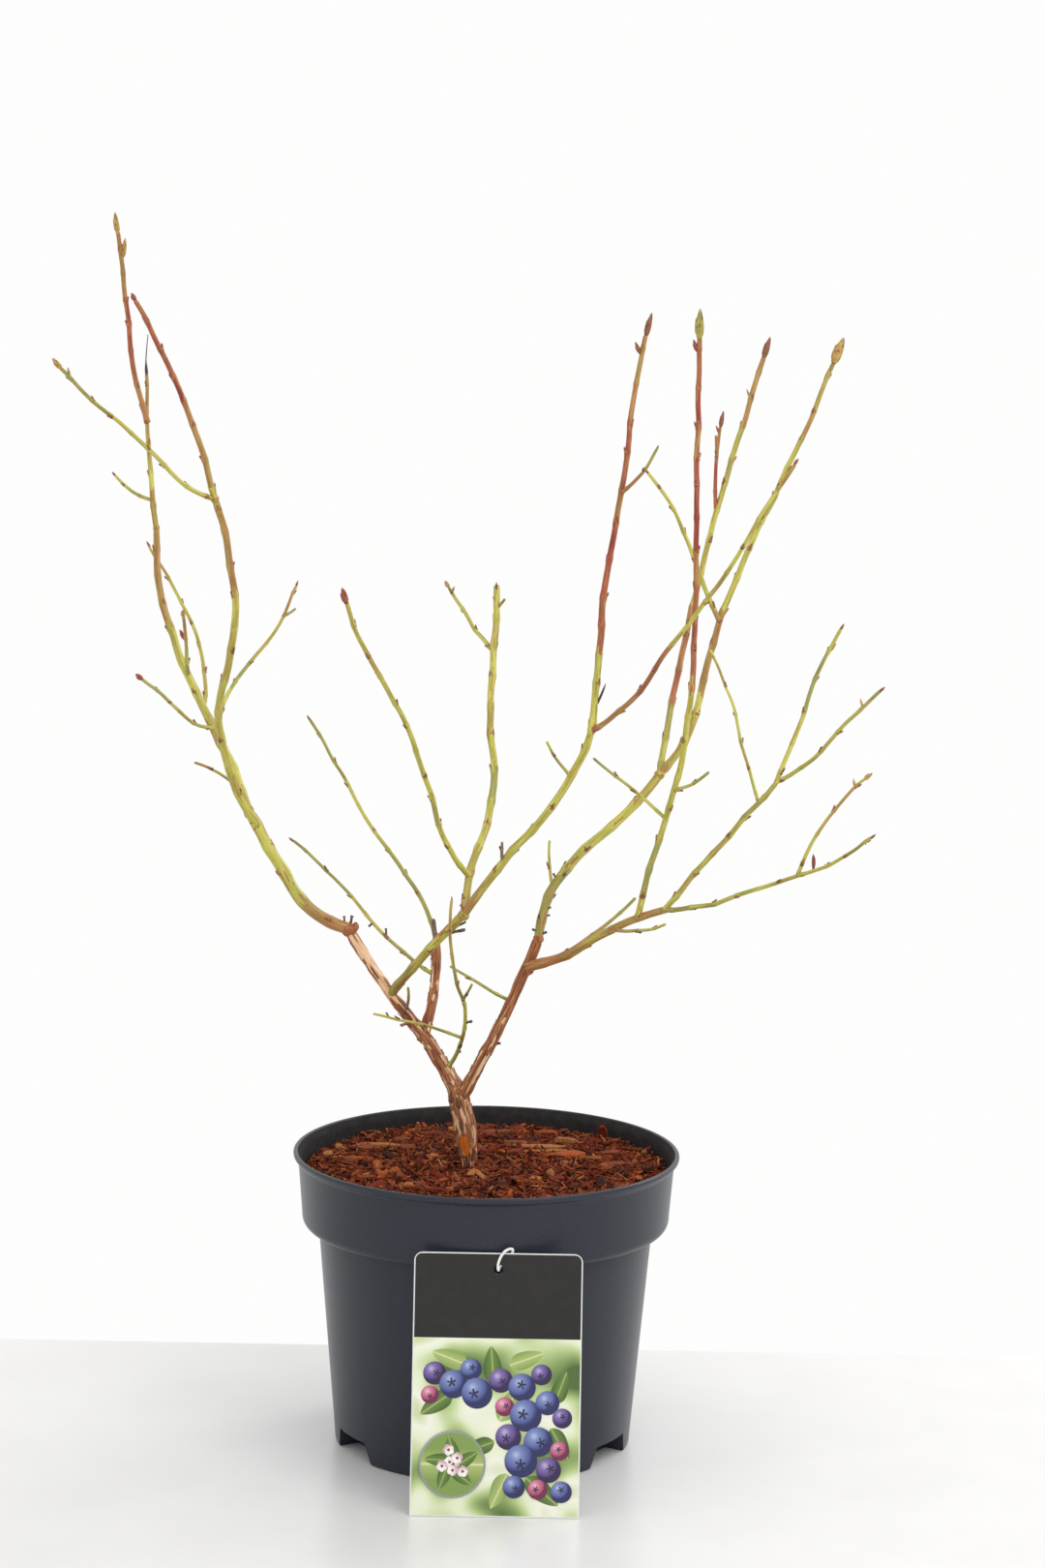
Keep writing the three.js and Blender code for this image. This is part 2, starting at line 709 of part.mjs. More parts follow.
// The label's own plane: x to the right, y up along it, z out of its front.
function onLabel(geometry) {
  geometry.rotateX(Math.PI / 2 - THREE.MathUtils.degToRad(LABEL.lean));
  geometry.translate(LABEL.centre, LABEL.foot, 0.08);
  return geometry;
}

function labelMesh() {
  const { width, length, thick, corner, hole, holeDrop } = LABEL;
  const half = width / 2;
  const card = new THREE.Shape();
  card.moveTo(-half, 0);
  card.lineTo(half, 0);
  card.lineTo(half, length - corner);
  card.absarc(half - corner, length - corner, corner, 0, Math.PI / 2);
  card.lineTo(corner - half, length);
  card.absarc(corner - half, length - corner, corner, Math.PI / 2, Math.PI);
  card.closePath();
  const eye = new THREE.Path();
  eye.absarc(0, length - holeDrop, hole, 0, Math.PI * 2);
  card.holes.push(eye);
  const geometry = new THREE.ExtrudeGeometry(card, { depth: thick, bevelEnabled: false, curveSegments: 6 });
  return meshOf('label', solidOf(onLabel(geometry)), 0x6f7a52, 0.4);
}

// A stiff plastic tie, looped through the label's hole and over its top edge.
function tieMesh() {
  const { length, thick, holeDrop } = LABEL;
  const middle = thick / 2;
  const eyeHeight = length - holeDrop;
  const front = middle + TIE.stand;
  const back = middle - TIE.stand;
  const route = [
    [0, eyeHeight - 0.4, middle],
    [0.4, eyeHeight + 0.8, front],
    [TIE.right * 0.45, length - 3, front + 0.2],
    [TIE.right * 0.8, length + TIE.over * 0.6, front - 0.3],
    [TIE.right, length + TIE.over, middle],
    [TIE.right, length + TIE.over * 0.4, back],
    [TIE.right * 0.6, length - 3.5, back],
    [0.2, eyeHeight + 0.6, back],
  ].map(([x, y, z]) => new THREE.Vector3(x, y, z));
  const loop = new THREE.CatmullRomCurve3(route, true);
  const geometry = new THREE.TubeGeometry(loop, 26, TIE.thick / 2, 6, true);
  return meshOf('label_tie', solidOf(onLabel(geometry)), 0xf1f1ee, 0.5);
}

// ---------------------------------------------------------------- the whole

const group = new THREE.Group();
group.add(potMesh(), soilMesh(), labelMesh(), tieMesh(), ...bushMeshes());

export default group;
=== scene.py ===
from math import atan2, cos, exp, floor, hypot, pi, radians, sin
from random import Random

import bmesh
import bpy
from mathutils import Matrix, Vector, noise


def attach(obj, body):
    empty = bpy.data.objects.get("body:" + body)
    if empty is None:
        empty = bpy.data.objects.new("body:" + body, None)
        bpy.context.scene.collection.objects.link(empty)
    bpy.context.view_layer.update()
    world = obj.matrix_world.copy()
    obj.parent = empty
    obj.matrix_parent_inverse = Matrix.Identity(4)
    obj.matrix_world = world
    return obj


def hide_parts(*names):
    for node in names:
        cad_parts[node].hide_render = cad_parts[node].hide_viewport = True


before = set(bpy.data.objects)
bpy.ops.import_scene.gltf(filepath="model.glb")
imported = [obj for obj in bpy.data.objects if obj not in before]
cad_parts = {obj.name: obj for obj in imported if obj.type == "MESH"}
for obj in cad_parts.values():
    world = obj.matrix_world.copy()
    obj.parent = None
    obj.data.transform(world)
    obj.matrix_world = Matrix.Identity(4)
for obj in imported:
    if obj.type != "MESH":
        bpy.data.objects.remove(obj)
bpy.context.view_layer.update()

# ---------------------------------------------------------------- camera
# A long lens in front of the bush, level with its tips and tipped down a
# little, so that the pot's rim shows as a flat oval.
lens = bpy.data.cameras.new("camera")
lens.sensor_width = 36
lens.lens = 84.96
camera = bpy.data.objects.new("camera", lens)
bpy.context.scene.collection.objects.link(camera)
camera.matrix_world = (
    Matrix.Translation((0.01899, -1.77558, 0.589))
    @ Matrix.Rotation(radians(0.142), 4, "Z")
    @ Matrix.Rotation(radians(90 - 8.366), 4, "X")
    @ Matrix.Rotation(radians(0.983), 4, "Z")
)
bpy.context.scene.camera = camera
bpy.context.scene.view_settings.view_transform = "Standard"

# ---------------------------------------------------------------- pot
# A three-litre nursery pot, moulded in one piece from dark grey polypropylene.
# A small lip and an upright band stiffen its thin, tapering wall, and six
# drain pockets are moulded into the corner of its foot.
MM = 0.001
POT_SIDES, POT_LIP, POT_HEIGHT = 144, 95, 145.6
BAND_TOP, BAND_FOOT, BAND_FOOT_HEIGHT, BAND_CORNER = 92.5, 90.4, 115.2, 0.7
BODY_TOP, BODY_TOP_HEIGHT, POT_FOOT, POT_WALL, POT_FLOOR = 82.2, 108.4, 72.9, 1.7, 2.4
DRAINS, DRAIN_HALF, DRAIN_SLANT, DRAIN_HEIGHT, DRAIN_INNER, DRAIN_WALL = 6, 17.4, 0.74, 10.5, 60, 2
# Heights between which the inner wall gets a darker, duller finish, as painted shade.
SHADE_FROM, SHADE_TO = 100, 144.6


def under_band(inward, upward):
    """The full corner from the body's top out to the band's foot, moved in and up."""
    out, down = BAND_FOOT - BODY_TOP, BODY_TOP_HEIGHT - BAND_FOOT_HEIGHT
    return [(BODY_TOP + out * sin(turn) ** BAND_CORNER - inward,
             BAND_FOOT_HEIGHT + down * cos(turn) ** BAND_CORNER + upward, 0)
            for turn in (pi / 2 * step / 12 for step in range(13))]


POT_OUTSIDE = [  # radius, height and rounding of each corner
    (0, 0, 0), (POT_FOOT, 0, 1), *under_band(0, 0),
    (BAND_TOP, 141.7, 1.6), (POT_LIP - 0.1, 143, 1.1), (POT_LIP, POT_HEIGHT, 1.1),
]
POT_INSIDE = [
    (93.1, POT_HEIGHT, 0.5), (90.8, 142.2, 1.4), *reversed(under_band(POT_WALL, POT_WALL)),
    (POT_FOOT - POT_WALL + 0.2, POT_FLOOR, 0.8), (0, POT_FLOOR, 0),
]


def turned(profile, sides):
    """A profile in millimetres, its corners rounded, turned round the Z axis."""
    shape = bmesh.new()
    points = [shape.verts.new((radius * MM, 0, height * MM)) for radius, height, _ in profile]
    for low, high in zip(points, points[1:]):
        shape.edges.new((low, high))
    for rounding in sorted({corner[2] for corner in profile if corner[2]}):
        corners = [v for v, corner in zip(points, profile) if corner[2] == rounding]
        bmesh.ops.bevel(shape, geom=corners, offset=rounding * MM, offset_type="OFFSET",
                        segments=4, profile=0.5, affect="VERTICES", material=-1)
    bmesh.ops.spin(shape, geom=shape.verts[:] + shape.edges[:], cent=(0, 0, 0), axis=(0, 0, 1),
                   dvec=(0, 0, 0), angle=2 * pi, steps=sides, use_merge=True)
    bmesh.ops.remove_doubles(shape, verts=shape.verts, dist=0.002 * MM)
    bmesh.ops.recalc_face_normals(shape, faces=shape.faces)
    return shape


def paint(red, green, blue):
    """A colour from its 8-bit shade, as the share of light that it sends back."""
    return (*(((part / 255 + 0.055) / 1.055) ** 2.4 for part in (red, green, blue)), 1)


def blank(name, rough):
    """A new material, with its nodes, links and shader."""
    made = bpy.data.materials.new(name)
    made.use_nodes = True
    shader = made.node_tree.nodes["Principled BSDF"]
    shader.inputs["Roughness"].default_value = rough
    return made, made.node_tree.nodes, made.node_tree.links, shader


def carried(nodes, name):
    """What a mesh carries under a name."""
    node = nodes.new("ShaderNodeAttribute")
    node.attribute_name = name
    return node.outputs


def ramp(nodes, stops):
    """A node that turns a value into the colours of its stops."""
    made = nodes.new("ShaderNodeValToRGB")
    elements = made.color_ramp.elements
    while len(elements) < len(stops):
        elements.new(0.5)
    for element, (at, colour) in zip(elements, stops):
        element.position, element.color = at, colour
    return made


def finish(name, shades, fine, rough, bump=0.0, stretch=(1, 1, 1), follows=None, detail=5, gloss=0.5):
    """A material that runs through its shades as a noise does that is `fine` millimetres across."""
    made, nodes, links, shader = blank(name, rough)
    if follows:
        place = carried(nodes, follows)["Vector"]
    else:
        place = nodes.new("ShaderNodeTexCoord").outputs["Object"]
    scaled = nodes.new("ShaderNodeMapping")
    scaled.inputs["Scale"].default_value = [share / (fine * MM) for share in stretch]
    links.new(place, scaled.inputs["Vector"])
    speckle = nodes.new("ShaderNodeTexNoise")
    speckle.inputs["Scale"].default_value = 1
    speckle.inputs["Detail"].default_value = detail
    speckle.inputs["Roughness"].default_value = 0.6
    links.new(scaled.outputs["Vector"], speckle.inputs["Vector"])
    steps = len(shades) - 1
    colours = ramp(nodes, [(0.3 + 0.4 * step / steps, paint(*shade)) for step, shade in enumerate(shades)])
    links.new(speckle.outputs["Fac"], colours.inputs["Fac"])
    links.new(colours.outputs["Color"], shader.inputs["Base Color"])
    shader.inputs["Specular IOR Level"].default_value = gloss
    if bump:
        relief = nodes.new("ShaderNodeBump")
        relief.inputs["Strength"].default_value = 1
        relief.inputs["Distance"].default_value = bump * MM
        links.new(speckle.outputs["Fac"], relief.inputs["Height"])
        links.new(relief.outputs["Normal"], shader.inputs["Normal"])
    return made


def piece(name, shape, finishes, slot, *stands_for, sharp=40):
    """A finished piece: its mesh and its materials, hung on the root, with the parts it stands for hidden. Its slot
    is not used.
    """
    mesh = bpy.data.meshes.new(name)
    shape.to_mesh(mesh)
    shape.free()
    for finished in finishes:
        mesh.materials.append(finished)
    mesh.shade_smooth()
    mesh.set_sharp_from_angle(angle=radians(sharp))
    made = bpy.data.objects.new(name, mesh)
    bpy.context.scene.collection.objects.link(made)
    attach(made, "root")
    if stands_for:
        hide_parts(*stands_for)
    return made


def drain_wedges(grown):
    """A wedge across the foot's corner for each drain pocket, `grown` all round for its walls."""
    shape = bmesh.new()
    bmesh.ops.create_cube(shape, size=1)
    for corner in shape.verts:
        right, inner, high = corner.co.x > 0, corner.co.y > 0, corner.co.z > 0
        half = DRAIN_HALF * (DRAIN_SLANT if high else 1) + grown
        corner.co = Vector((half if right else -half, grown - DRAIN_INNER if inner else -POT_LIP,
                            DRAIN_HEIGHT + grown if high else -1)) * MM
    one = bpy.data.meshes.new("drain_wedge")
    shape.to_mesh(one)
    for _ in range(DRAINS - 1):
        one.transform(Matrix.Rotation(2 * pi / DRAINS, 4, "Z"))
        shape.from_mesh(one)
    bpy.data.meshes.remove(one)
    return shape


def combined(shape, tool, operation):
    """One shape joined with, cut by or kept within another."""
    pair = []
    for part in (shape, tool):
        mesh = bpy.data.meshes.new("combined")
        part.to_mesh(mesh)
        part.free()
        pair.append(bpy.data.objects.new("combined", mesh))
        bpy.context.scene.collection.objects.link(pair[-1])
    step = pair[0].modifiers.new(operation, "BOOLEAN")
    step.object, step.operation, step.solver = pair[1], operation, "EXACT"
    result = bpy.data.meshes.new_from_object(pair[0].evaluated_get(bpy.context.evaluated_depsgraph_get()))
    whole = bmesh.new()
    whole.from_mesh(result)
    for used in pair:
        bpy.data.objects.remove(used)
    bpy.data.meshes.remove(result)
    return whole


within = turned([(0, 1, 0), (POT_FOOT - 0.9, 1, 0), (POT_FOOT + 0.6, 20, 0), (0, 20, 0)], POT_SIDES)
pockets = combined(drain_wedges(DRAIN_WALL), within, "INTERSECT")
shell = combined(turned(POT_OUTSIDE + POT_INSIDE, POT_SIDES), pockets, "UNION")
shell = combined(shell, drain_wedges(0), "DIFFERENCE")
pot_plastic = finish("pot_plastic", [(36, 40, 48), (41, 45, 55), (46, 51, 62)], 0.8, 0.33, bump=0.02, gloss=0.32)
inner_wall_shade = finish("pot_plastic_painted_shade", [(36, 35, 36), (44, 42, 42), (54, 49, 46)], 4, 0.8, gloss=0.12)
for face in shell.faces:  # the inner wall below the lip is painted darker and duller, as painted shade
    middle = face.calc_center_median() / MM
    faces_in = face.normal.dot(Vector((middle.x, middle.y, 0))) < -5
    face.material_index = faces_in and SHADE_FROM < middle.z < SHADE_TO
piece("nursery_pot", shell, [pot_plastic, inner_wall_shade], "pot_plastic", "pot", sharp=35)

# ---------------------------------------------------------------- compost
# Composted conifer bark fills the pot to a finger's width below the lip. Under
# a loose top of shreds, flakes and larger chips lies a bed of dark fines, painted darker still as painted shade in
# the gaps.
SOIL_TOP, SOIL_EDGE, SOIL_WAVES, SOIL_REACH = 140, 137, 0.9, 89.8
BED = [
    (0, 2.9, 0), (57.5, 2.9, 0), (57.5, 13, 0), (71.8, 13, 0), *under_band(POT_WALL + 0.5, POT_WALL + 0.5),
    *((SOIL_REACH * (1 - step / 30), SOIL_TOP, 0) for step in range(31)),
]


def soil_height(x, y):
    """The low waves of the surface, in millimetres."""
    wave = sin(x * 0.21 + 1) * cos(y * 0.17) + sin(x * 0.09 - y * 0.13)
    outward = hypot(x, y) / BAND_TOP
    return SOIL_TOP + (SOIL_EDGE - SOIL_TOP) * outward ** 2 - SOIL_WAVES * (1 + wave / 2)


bed = turned(BED, 96)
for point in bed.verts:
    if point.co.z > (SOIL_TOP - 0.01) * MM:
        x, y = point.co.x / MM, point.co.y / MM
        rough = noise.noise(Vector((x, y, 0)) * 0.3) * 0.9 + noise.noise(Vector((x, y, 5)) * 0.9) * 0.5
        point.co.z = (soil_height(x, y) - 0.9 + rough) * MM
# Painted shade: the fines are dark of themselves and darker still, standing for the shade in the gaps between the
# pieces on top.
compost_bed = finish("compost_fines_and_gap_shade", [(26, 12, 8), (54, 26, 16), (84, 42, 26)], 1.6, 0.95, bump=0.7, gloss=0.1)
piece("compost_bed", bed, [compost_bed], "bark_compost", "compost")

BARK_SHADES = {  # darkest and lightest of each kind of shred, and how common it is
    "dark_bark": ((32, 11, 6), (66, 26, 14), 6),
    "red_bark": ((78, 26, 12), (128, 50, 26), 10),
    "brown_bark": ((92, 42, 22), (142, 74, 40), 8),
    "orange_bark": ((128, 56, 24), (178, 92, 46), 4),
    "tan_bark": ((122, 70, 36), (180, 120, 70), 1.3),
}
bark_finishes = [finish(name, [low, high], 1.1, 0.82, bump=0.25, gloss=0.15)
                 for name, (low, high, _) in BARK_SHADES.items()]
bark_weights = [common for _, _, common in BARK_SHADES.values()]


def cut_across(bar, axis, cuts):
    """Cuts a bar one unit long into even lengths along one of its axes."""
    along = [e for e in bar.edges if abs(e.verts[0].co[axis] - e.verts[1].co[axis]) > 0.5]
    bmesh.ops.subdivide_edges(bar, edges=along, cuts=cuts, use_grid_fill=True)


def splinter(random):
    """A bar one unit long, torn thin at its ends and bent."""
    shape = bmesh.new()
    bmesh.ops.create_cube(shape, size=1)
    cut_across(shape, 0, 2)
    bend = random.uniform(-0.35, 0.35)
    for point in shape.verts:
        thin = 1 - 1.3 * point.co.x ** 2
        point.co.y = point.co.y * thin + bend * point.co.x ** 2 + random.uniform(-0.06, 0.06)
        point.co.z = point.co.z * thin + random.uniform(-0.12, 0.12)
    return shape


def flake(random):
    """A torn flake of bark one unit long and as wide, a little curled."""
    shape = bmesh.new()
    bmesh.ops.create_circle(shape, cap_ends=True, segments=7, radius=0.5)
    for point in shape.verts:
        point.co *= random.uniform(0.7, 1.1)
    thick = bmesh.ops.extrude_face_region(shape, geom=shape.faces[:])["geom"]
    upper = [v for v in thick if isinstance(v, bmesh.types.BMVert)]
    bmesh.ops.translate(shape, verts=upper, vec=(0, 0, 1))
    for point in shape.verts:
        point.co.z += random.uniform(-0.25, 0.25) + 1.6 * point.co.x ** 2
    bmesh.ops.recalc_face_normals(shape, faces=shape.faces)
    return shape


def chip(random):
    """A larger chip, long and rounded, with a grooved back."""
    shape = bmesh.new()
    bmesh.ops.create_cube(shape, size=1)
    bmesh.ops.subdivide_edges(shape, edges=shape.edges[:], cuts=3, use_grid_fill=True)
    seed = random.uniform(0, 50)
    for point in shape.verts:
        x, y, z = point.co
        round_end = 1 - 0.9 * max(0, abs(x) - 0.3) ** 1.2 * 4
        rough = noise.noise(Vector((x * 2, y * 5 + seed, z * 2)))
        high = z * (1 - 1.6 * y * y) + 0.3 * rough - 0.8 * x * x
        point.co = Vector((x, y * round_end * (1 + 0.25 * rough), high))
    return shape


def crumb(random):
    """A crumb of bark."""
    shape = bmesh.new()
    bmesh.ops.create_icosphere(shape, subdivisions=1, radius=0.5)
    for point in shape.verts:
        point.co *= random.uniform(0.7, 1.2)
    return shape


PATTERNS = 5  # how many shapes of each colour are strewn again and again


def placed(heap, pattern, place):
    """Adds one more copy of a pattern to a heap."""
    copy = pattern.copy()
    copy.transform(place)
    heap.from_mesh(copy)
    bpy.data.meshes.remove(copy)


def merged(shapes):
    """Several shapes as one."""
    whole = bmesh.new()
    for shape in shapes:
        mesh = bpy.data.meshes.new("part")
        shape.to_mesh(mesh)
        shape.free()
        whole.from_mesh(mesh)
        bpy.data.meshes.remove(mesh)
    return whole


def strewn(name, make, count, lengths, widths, thicks, lift, tilt, seed, reach=89):
    """Pieces of one kind strewn over the compost, as one mesh."""
    random = Random(seed)
    patterns = []
    for colour in range(len(bark_finishes)):
        for _ in range(PATTERNS):
            shape = make(random)
            for face in shape.faces:
                face.material_index = colour
            patterns.append(bpy.data.meshes.new("pattern"))
            shape.to_mesh(patterns[-1])
            shape.free()
    heap = bmesh.new()
    for _ in range(count):
        long, wide, thick = (random.uniform(*span) for span in (lengths, widths, thicks))
        outward = (reach - long * 0.35) * random.random() ** 0.5
        round_pot = random.uniform(0, 2 * pi)
        x, y = outward * cos(round_pot), outward * sin(round_pot)
        colour = random.choices(range(len(bark_finishes)), bark_weights)[0]
        pattern = patterns[colour * PATTERNS + random.randrange(PATTERNS)]
        place = Matrix.Translation(Vector((x, y, soil_height(x, y) + random.uniform(*lift))) * MM)
        turn = Matrix.Rotation(random.uniform(0, 2 * pi), 4, "Z")
        lean = Matrix.Rotation(radians(random.gauss(0, tilt)), 4, "Y")
        roll = Matrix.Rotation(radians(random.gauss(0, tilt * 1.6)), 4, "X")
        size = Matrix.Diagonal((long * MM, wide * MM, thick * MM, 1))
        placed(heap, pattern, place @ turn @ lean @ roll @ size)
    for pattern in patterns:
        bpy.data.meshes.remove(pattern)
    piece(name, heap, bark_finishes, "bark_compost", "compost", sharp=60)


# Each kind's count, the spans of its lengths, widths, thicknesses and heights
# above the fines, how far it tilts, and its seed.
strewn("bark_shreds", splinter, 6900, (2, 9.5), (0.4, 1.1), (0.3, 0.65), (-0.6, 1.4), 17, 3)
strewn("bark_flakes", flake, 900, (2.2, 8), (1.4, 4.0), (0.4, 1.1), (-0.5, 1.2), 20, 5)
strewn("bark_crumbs", crumb, 3200, (0.6, 2.0), (0.6, 1.6), (0.5, 1.3), (-0.4, 0.9), 20, 7)
strewn("bark_chips", chip, 90, (6, 15), (2.4, 5.4), (1.4, 2.8), (0.2, 1.6), 14, 11, reach=86)

CHIPS = [  # the largest pieces: where they lie, bearing, tilt, length, width, height and colour
    (24, 30, 172, 3, 30, 4.2, 1.2, 4), (27, 22, 176, 4, 26, 3.4, 1.0, 4), (38, 16, 168, 6, 22, 6.4, 1.6, 3),
    (48, 12, 160, 8, 19, 5.4, 1.4, 4), (18, 40, 12, 5, 20, 4.0, 1.0, 2), (60, 24, 140, 12, 15, 6.0, 1.4, 2),
    (40, 44, 35, 14, 13, 7.0, 2.0, 4), (66, 4, 20, 6, 17, 4.6, 1.0, 2), (-26, 6, 60, 20, 9, 6.4, 1.4, 4),
    (-50, 30, 20, 6, 18, 5.4, 1.4, 4), (-58, 24, 28, 8, 14, 6.0, 1.2, 2), (-44, 46, 150, 10, 12, 5.0, 1.2, 2),
    (-62, 6, 10, 6, 14, 4.6, 1.0, 3), (-20, -34, 70, 10, 12, 3.6, 0.8, 3), (30, -36, 160, 6, 16, 3.8, 0.8, 2),
    (62, -26, 120, 8, 14, 4.6, 1.0, 1), (-56, -30, 40, 6, 15, 4.0, 0.8, 2), (4, 62, 175, 6, 18, 5.0, 1.2, 2),
    (-14, 70, 20, 10, 14, 4.6, 1.2, 4), (28, 66, 150, 12, 15, 5.2, 1.4, 3), (-36, 62, 100, 74, 9, 3.0, 3.0, 4),
    (-48, 52, 60, 66, 8, 2.6, 2.6, 2), (58, 56, 80, 70, 10, 4.6, 3.4, 1), (6, -74, 172, 5, 14, 3.4, 0.8, 1),
]
random = Random(29)
largest = []
for x, y, bearing, tilt, long, wide, above, colour in CHIPS:
    one = chip(random)
    for face in one.faces:
        face.material_index = colour
    place = Matrix.Translation(Vector((x, y, soil_height(x, y) + above)) * MM)
    turn = Matrix.Rotation(radians(bearing), 4, "Z") @ Matrix.Rotation(radians(tilt), 4, "Y")
    roll = Matrix.Rotation(random.uniform(-0.3, 0.3), 4, "X")
    size = Matrix.Diagonal((long * MM, wide * MM, wide * 0.42 * MM, 1))
    bmesh.ops.transform(one, matrix=place @ turn @ roll @ size, verts=one.verts)
    largest.append(one)
piece("largest_chips", merged(largest), bark_finishes, "bark_compost", "compost", sharp=60)

# ---------------------------------------------------------------- trunk
# A short, leaning stem of living wood that forks a few centimetres above the
# compost. Its cinnamon bark is ridged and flakes off lengthwise in strips,
# with paler young bark beneath, and a scraped patch near its foot is orange.
TRUNK_FOOT = Vector((-8, -8.4, SOIL_TOP - 4))

